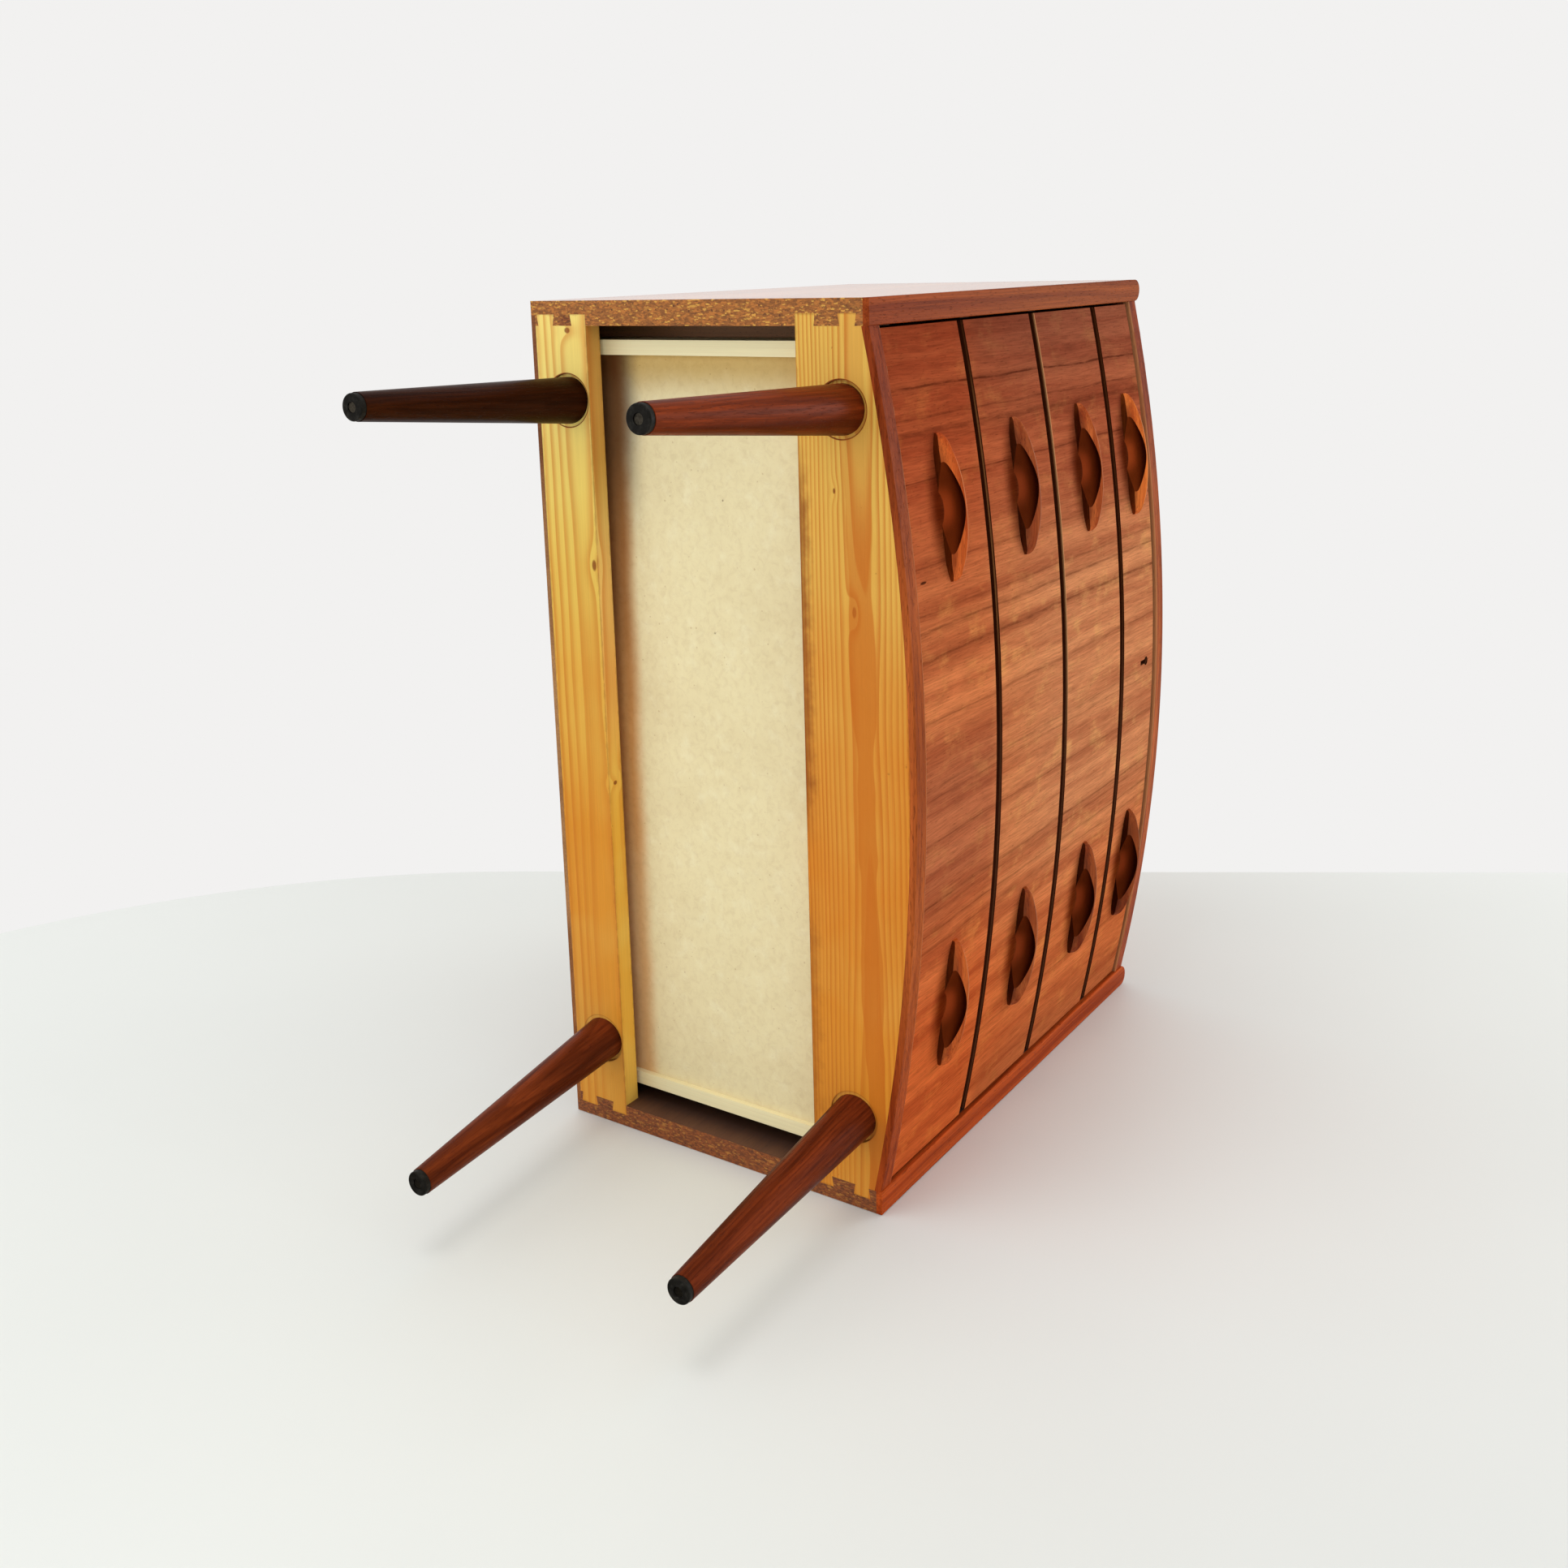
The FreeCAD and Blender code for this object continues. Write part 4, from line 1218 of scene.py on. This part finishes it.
class CHEST_OT_stage(ChestOperator):
    """Table, floor, wall, lights and camera."""
    bl_idname = "chest.stage"
    bl_label = "Stage"

    def execute(self, context):
        studio = context.scene.chest_studio
        table_top(studio)
        upright_floor(studio)
        room(context.scene, studio)
        for name, direction, size in LAMPS:
            lamp(name, direction, size, getattr(studio, name))
        camera = bpy.data.cameras.new("camera")
        camera.lens = studio.lens
        camera.sensor_width = 36.0
        camera.shift_y = studio.rise
        camera.clip_start = 0.01
        holder = placed("camera", camera)
        holder.location = studio.camera_place
        holder.rotation_euler = Euler(studio.camera_turn)
        context.scene.camera = holder
        context.scene.view_settings.view_transform = "Standard"
        return {"FINISHED"}


def seen_rays(tree, *labels):
    """A mask of the rays of these kinds."""
    rays = add(tree, "ShaderNodeLightPath").outputs
    seen, *others = [Wire(rays[label]) for label in labels]
    for ray in others:
        seen = most(seen, ray)
    return seen


def one_sided(name, tone, seen_only=False):
    """A matt surface that only its front shows."""
    material, tree, shader = new_material(name, Roughness=0.55)
    cloudy = step(noise(own_coordinates(tree), scale=3.0, detail=3.0), 0.3, 0.7, 0.985, 1.0)
    feed(shader.inputs["Base Color"], toned(tone, cloudy))
    through = Wire(add(tree, "ShaderNodeNewGeometry").outputs["Backfacing"])
    if seen_only:
        through = most(through, 1.0 - seen_rays(tree, "Is Camera Ray", "Is Glossy Ray"))
    clear = add(tree, "ShaderNodeBsdfTransparent")
    either = add(tree, "ShaderNodeMixShader",
                 {0: through, 1: shader.outputs[0], 2: clear.outputs[0]})
    feed(tree.nodes["Material Output"].inputs["Surface"], either.outputs[0])
    return material


TABLE_GAP = 0.0004  # between the side panel and the table
ROUND_END_STEPS = 64
OPENING_INSET = 0.003


def table_top(studio):
    """White table with a round end, just beyond the side panel that the chest lies on."""
    turn = studio.table_turn
    along = Vector((0.0, math.cos(turn), math.sin(turn)))
    outward = Vector((0.0, -math.sin(turn), math.cos(turn)))
    radius, length_ahead = studio.table_radius, studio.table_length
    surface_x = chest_high.x + TABLE_GAP
    centre = Vector((surface_x, *studio.table_centre))
    outline = []
    for number in range(ROUND_END_STEPS):
        angle = math.pi * (0.5 - number / ROUND_END_STEPS)
        outline.append(centre + radius * (math.cos(angle) * along + math.sin(angle) * outward))
    near = centre - studio.table_width * outward
    outline += [near + radius * along, near - length_ahead * along,
                centre - length_ahead * along + radius * outward]
    # an opening under the side panel, so that the two don't lie against each other
    low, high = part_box("side_panel_right")
    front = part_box("side_front_lipping_right")[0].y + OPENING_INSET
    back = high.y - OPENING_INSET
    bottom, top = low.z + OPENING_INSET, high.z - OPENING_INSET
    hole = [Vector((surface_x, y, z)) for y, z in
            ((front, bottom), (back, bottom), (back, top), (front, top))]
    build = bmesh.new()
    edges = []
    for loop in (outline, hole):
        points = [build.verts.new(point) for point in loop]
        edges += [build.edges.new((points[index - 1], points[index]))
                  for index in range(len(points))]
    bmesh.ops.triangle_fill(build, edges=edges, use_beauty=True, use_dissolve=False)
    for face in build.faces:
        face.normal_update()
        if face.normal.x > 0:
            face.normal_flip()
    mesh = bpy.data.meshes.new("table_top")
    build.to_mesh(mesh)
    build.free()
    mesh.materials.append(one_sided("table_white", studio.table_tone))
    holder = placed("table_top", mesh)


FLOOR_REACH = 4.0


def upright_floor(studio):
    """Floor under the legs, seen from above only."""
    mesh = bpy.data.meshes.new("floor")
    reach, z = FLOOR_REACH, chest_low.z
    corners = [(-reach, -reach, z), (reach, -reach, z), (reach, reach, z), (-reach, reach, z)]
    mesh.from_pydata(corners, [], [(0, 1, 2, 3)])
    mesh.materials.append(one_sided("floor_pale", studio.table_tone, seen_only=True))
    holder = placed("floor", mesh)


def room(scene, studio):
    """Plain pale surroundings and their even light."""
    world = bpy.data.worlds.new("room")
    world.use_nodes = True
    tree = world.node_tree
    light = tree.nodes["Background"]
    feed(light.inputs["Color"], (1.0, 1.0, 1.0))
    feed(light.inputs["Strength"], studio.room_light)
    wall = add(tree, "ShaderNodeBackground", {"Color": studio.wall_tone})
    seen = seen_rays(tree, "Is Camera Ray", "Is Glossy Ray", "Is Transmission Ray")
    either = add(tree, "ShaderNodeMixShader", {0: seen, 1: light.outputs[0], 2: wall.outputs[0]})
    feed(tree.nodes["World Output"].inputs["Surface"], either.outputs[0])
    scene.world = world


def lamp(name, direction, size, power):
    """Soft round light that faces the chest."""
    light = bpy.data.lights.new(name, "AREA")
    light.shape = "DISK"
    light.size = size
    light.energy = power
    holder = placed(name, light)
    towards = Vector(direction).normalized()
    holder.location = (chest_low + chest_high) / 2 + towards * LAMP_DISTANCE
    holder.rotation_euler = towards.to_track_quat("Z", "Y").to_euler()


class CHEST_PT_panel(bpy.types.Panel):
    """Steps and settings of the chest."""
    bl_idname = "CHEST_PT_panel"
    bl_label = "Chest of drawers"
    bl_space_type = "VIEW_3D"
    bl_region_type = "UI"
    bl_category = "Chest"

    def draw(self, context):
        for step_class in STEPS:
            self.layout.operator(step_class.bl_idname)
        for name, settings in SETTINGS:
            box = self.layout.box()
            for setting in settings.__annotations__:
                box.prop(getattr(context.scene, name), setting)


STEPS = (CHEST_OT_sides, CHEST_OT_lippings, CHEST_OT_rails, CHEST_OT_back, CHEST_OT_runners,
         CHEST_OT_legs, CHEST_OT_fronts, CHEST_OT_handles, CHEST_OT_boxes, CHEST_OT_lock,
         CHEST_OT_stage)
SETTINGS = (("chest_finishes", ChestFinishes), ("chest_nails", ChestNails),
            ("chest_studio", ChestStudio))


def register():
    for name, settings in SETTINGS:
        bpy.utils.register_class(settings)
        setattr(bpy.types.Scene, name, PointerProperty(type=settings))
    for step_class in STEPS:
        bpy.utils.register_class(step_class)
    bpy.utils.register_class(CHEST_PT_panel)


def unregister():
    bpy.utils.unregister_class(CHEST_PT_panel)
    for step_class in reversed(STEPS):
        bpy.utils.unregister_class(step_class)
    for name, settings in reversed(SETTINGS):
        delattr(bpy.types.Scene, name)
        bpy.utils.unregister_class(settings)


def main():
    """Run every step."""
    register()
    for step_class in STEPS:
        area, name = step_class.bl_idname.split(".")
        getattr(getattr(bpy.ops, area), name)()


if __name__ == "__main__":
    main()
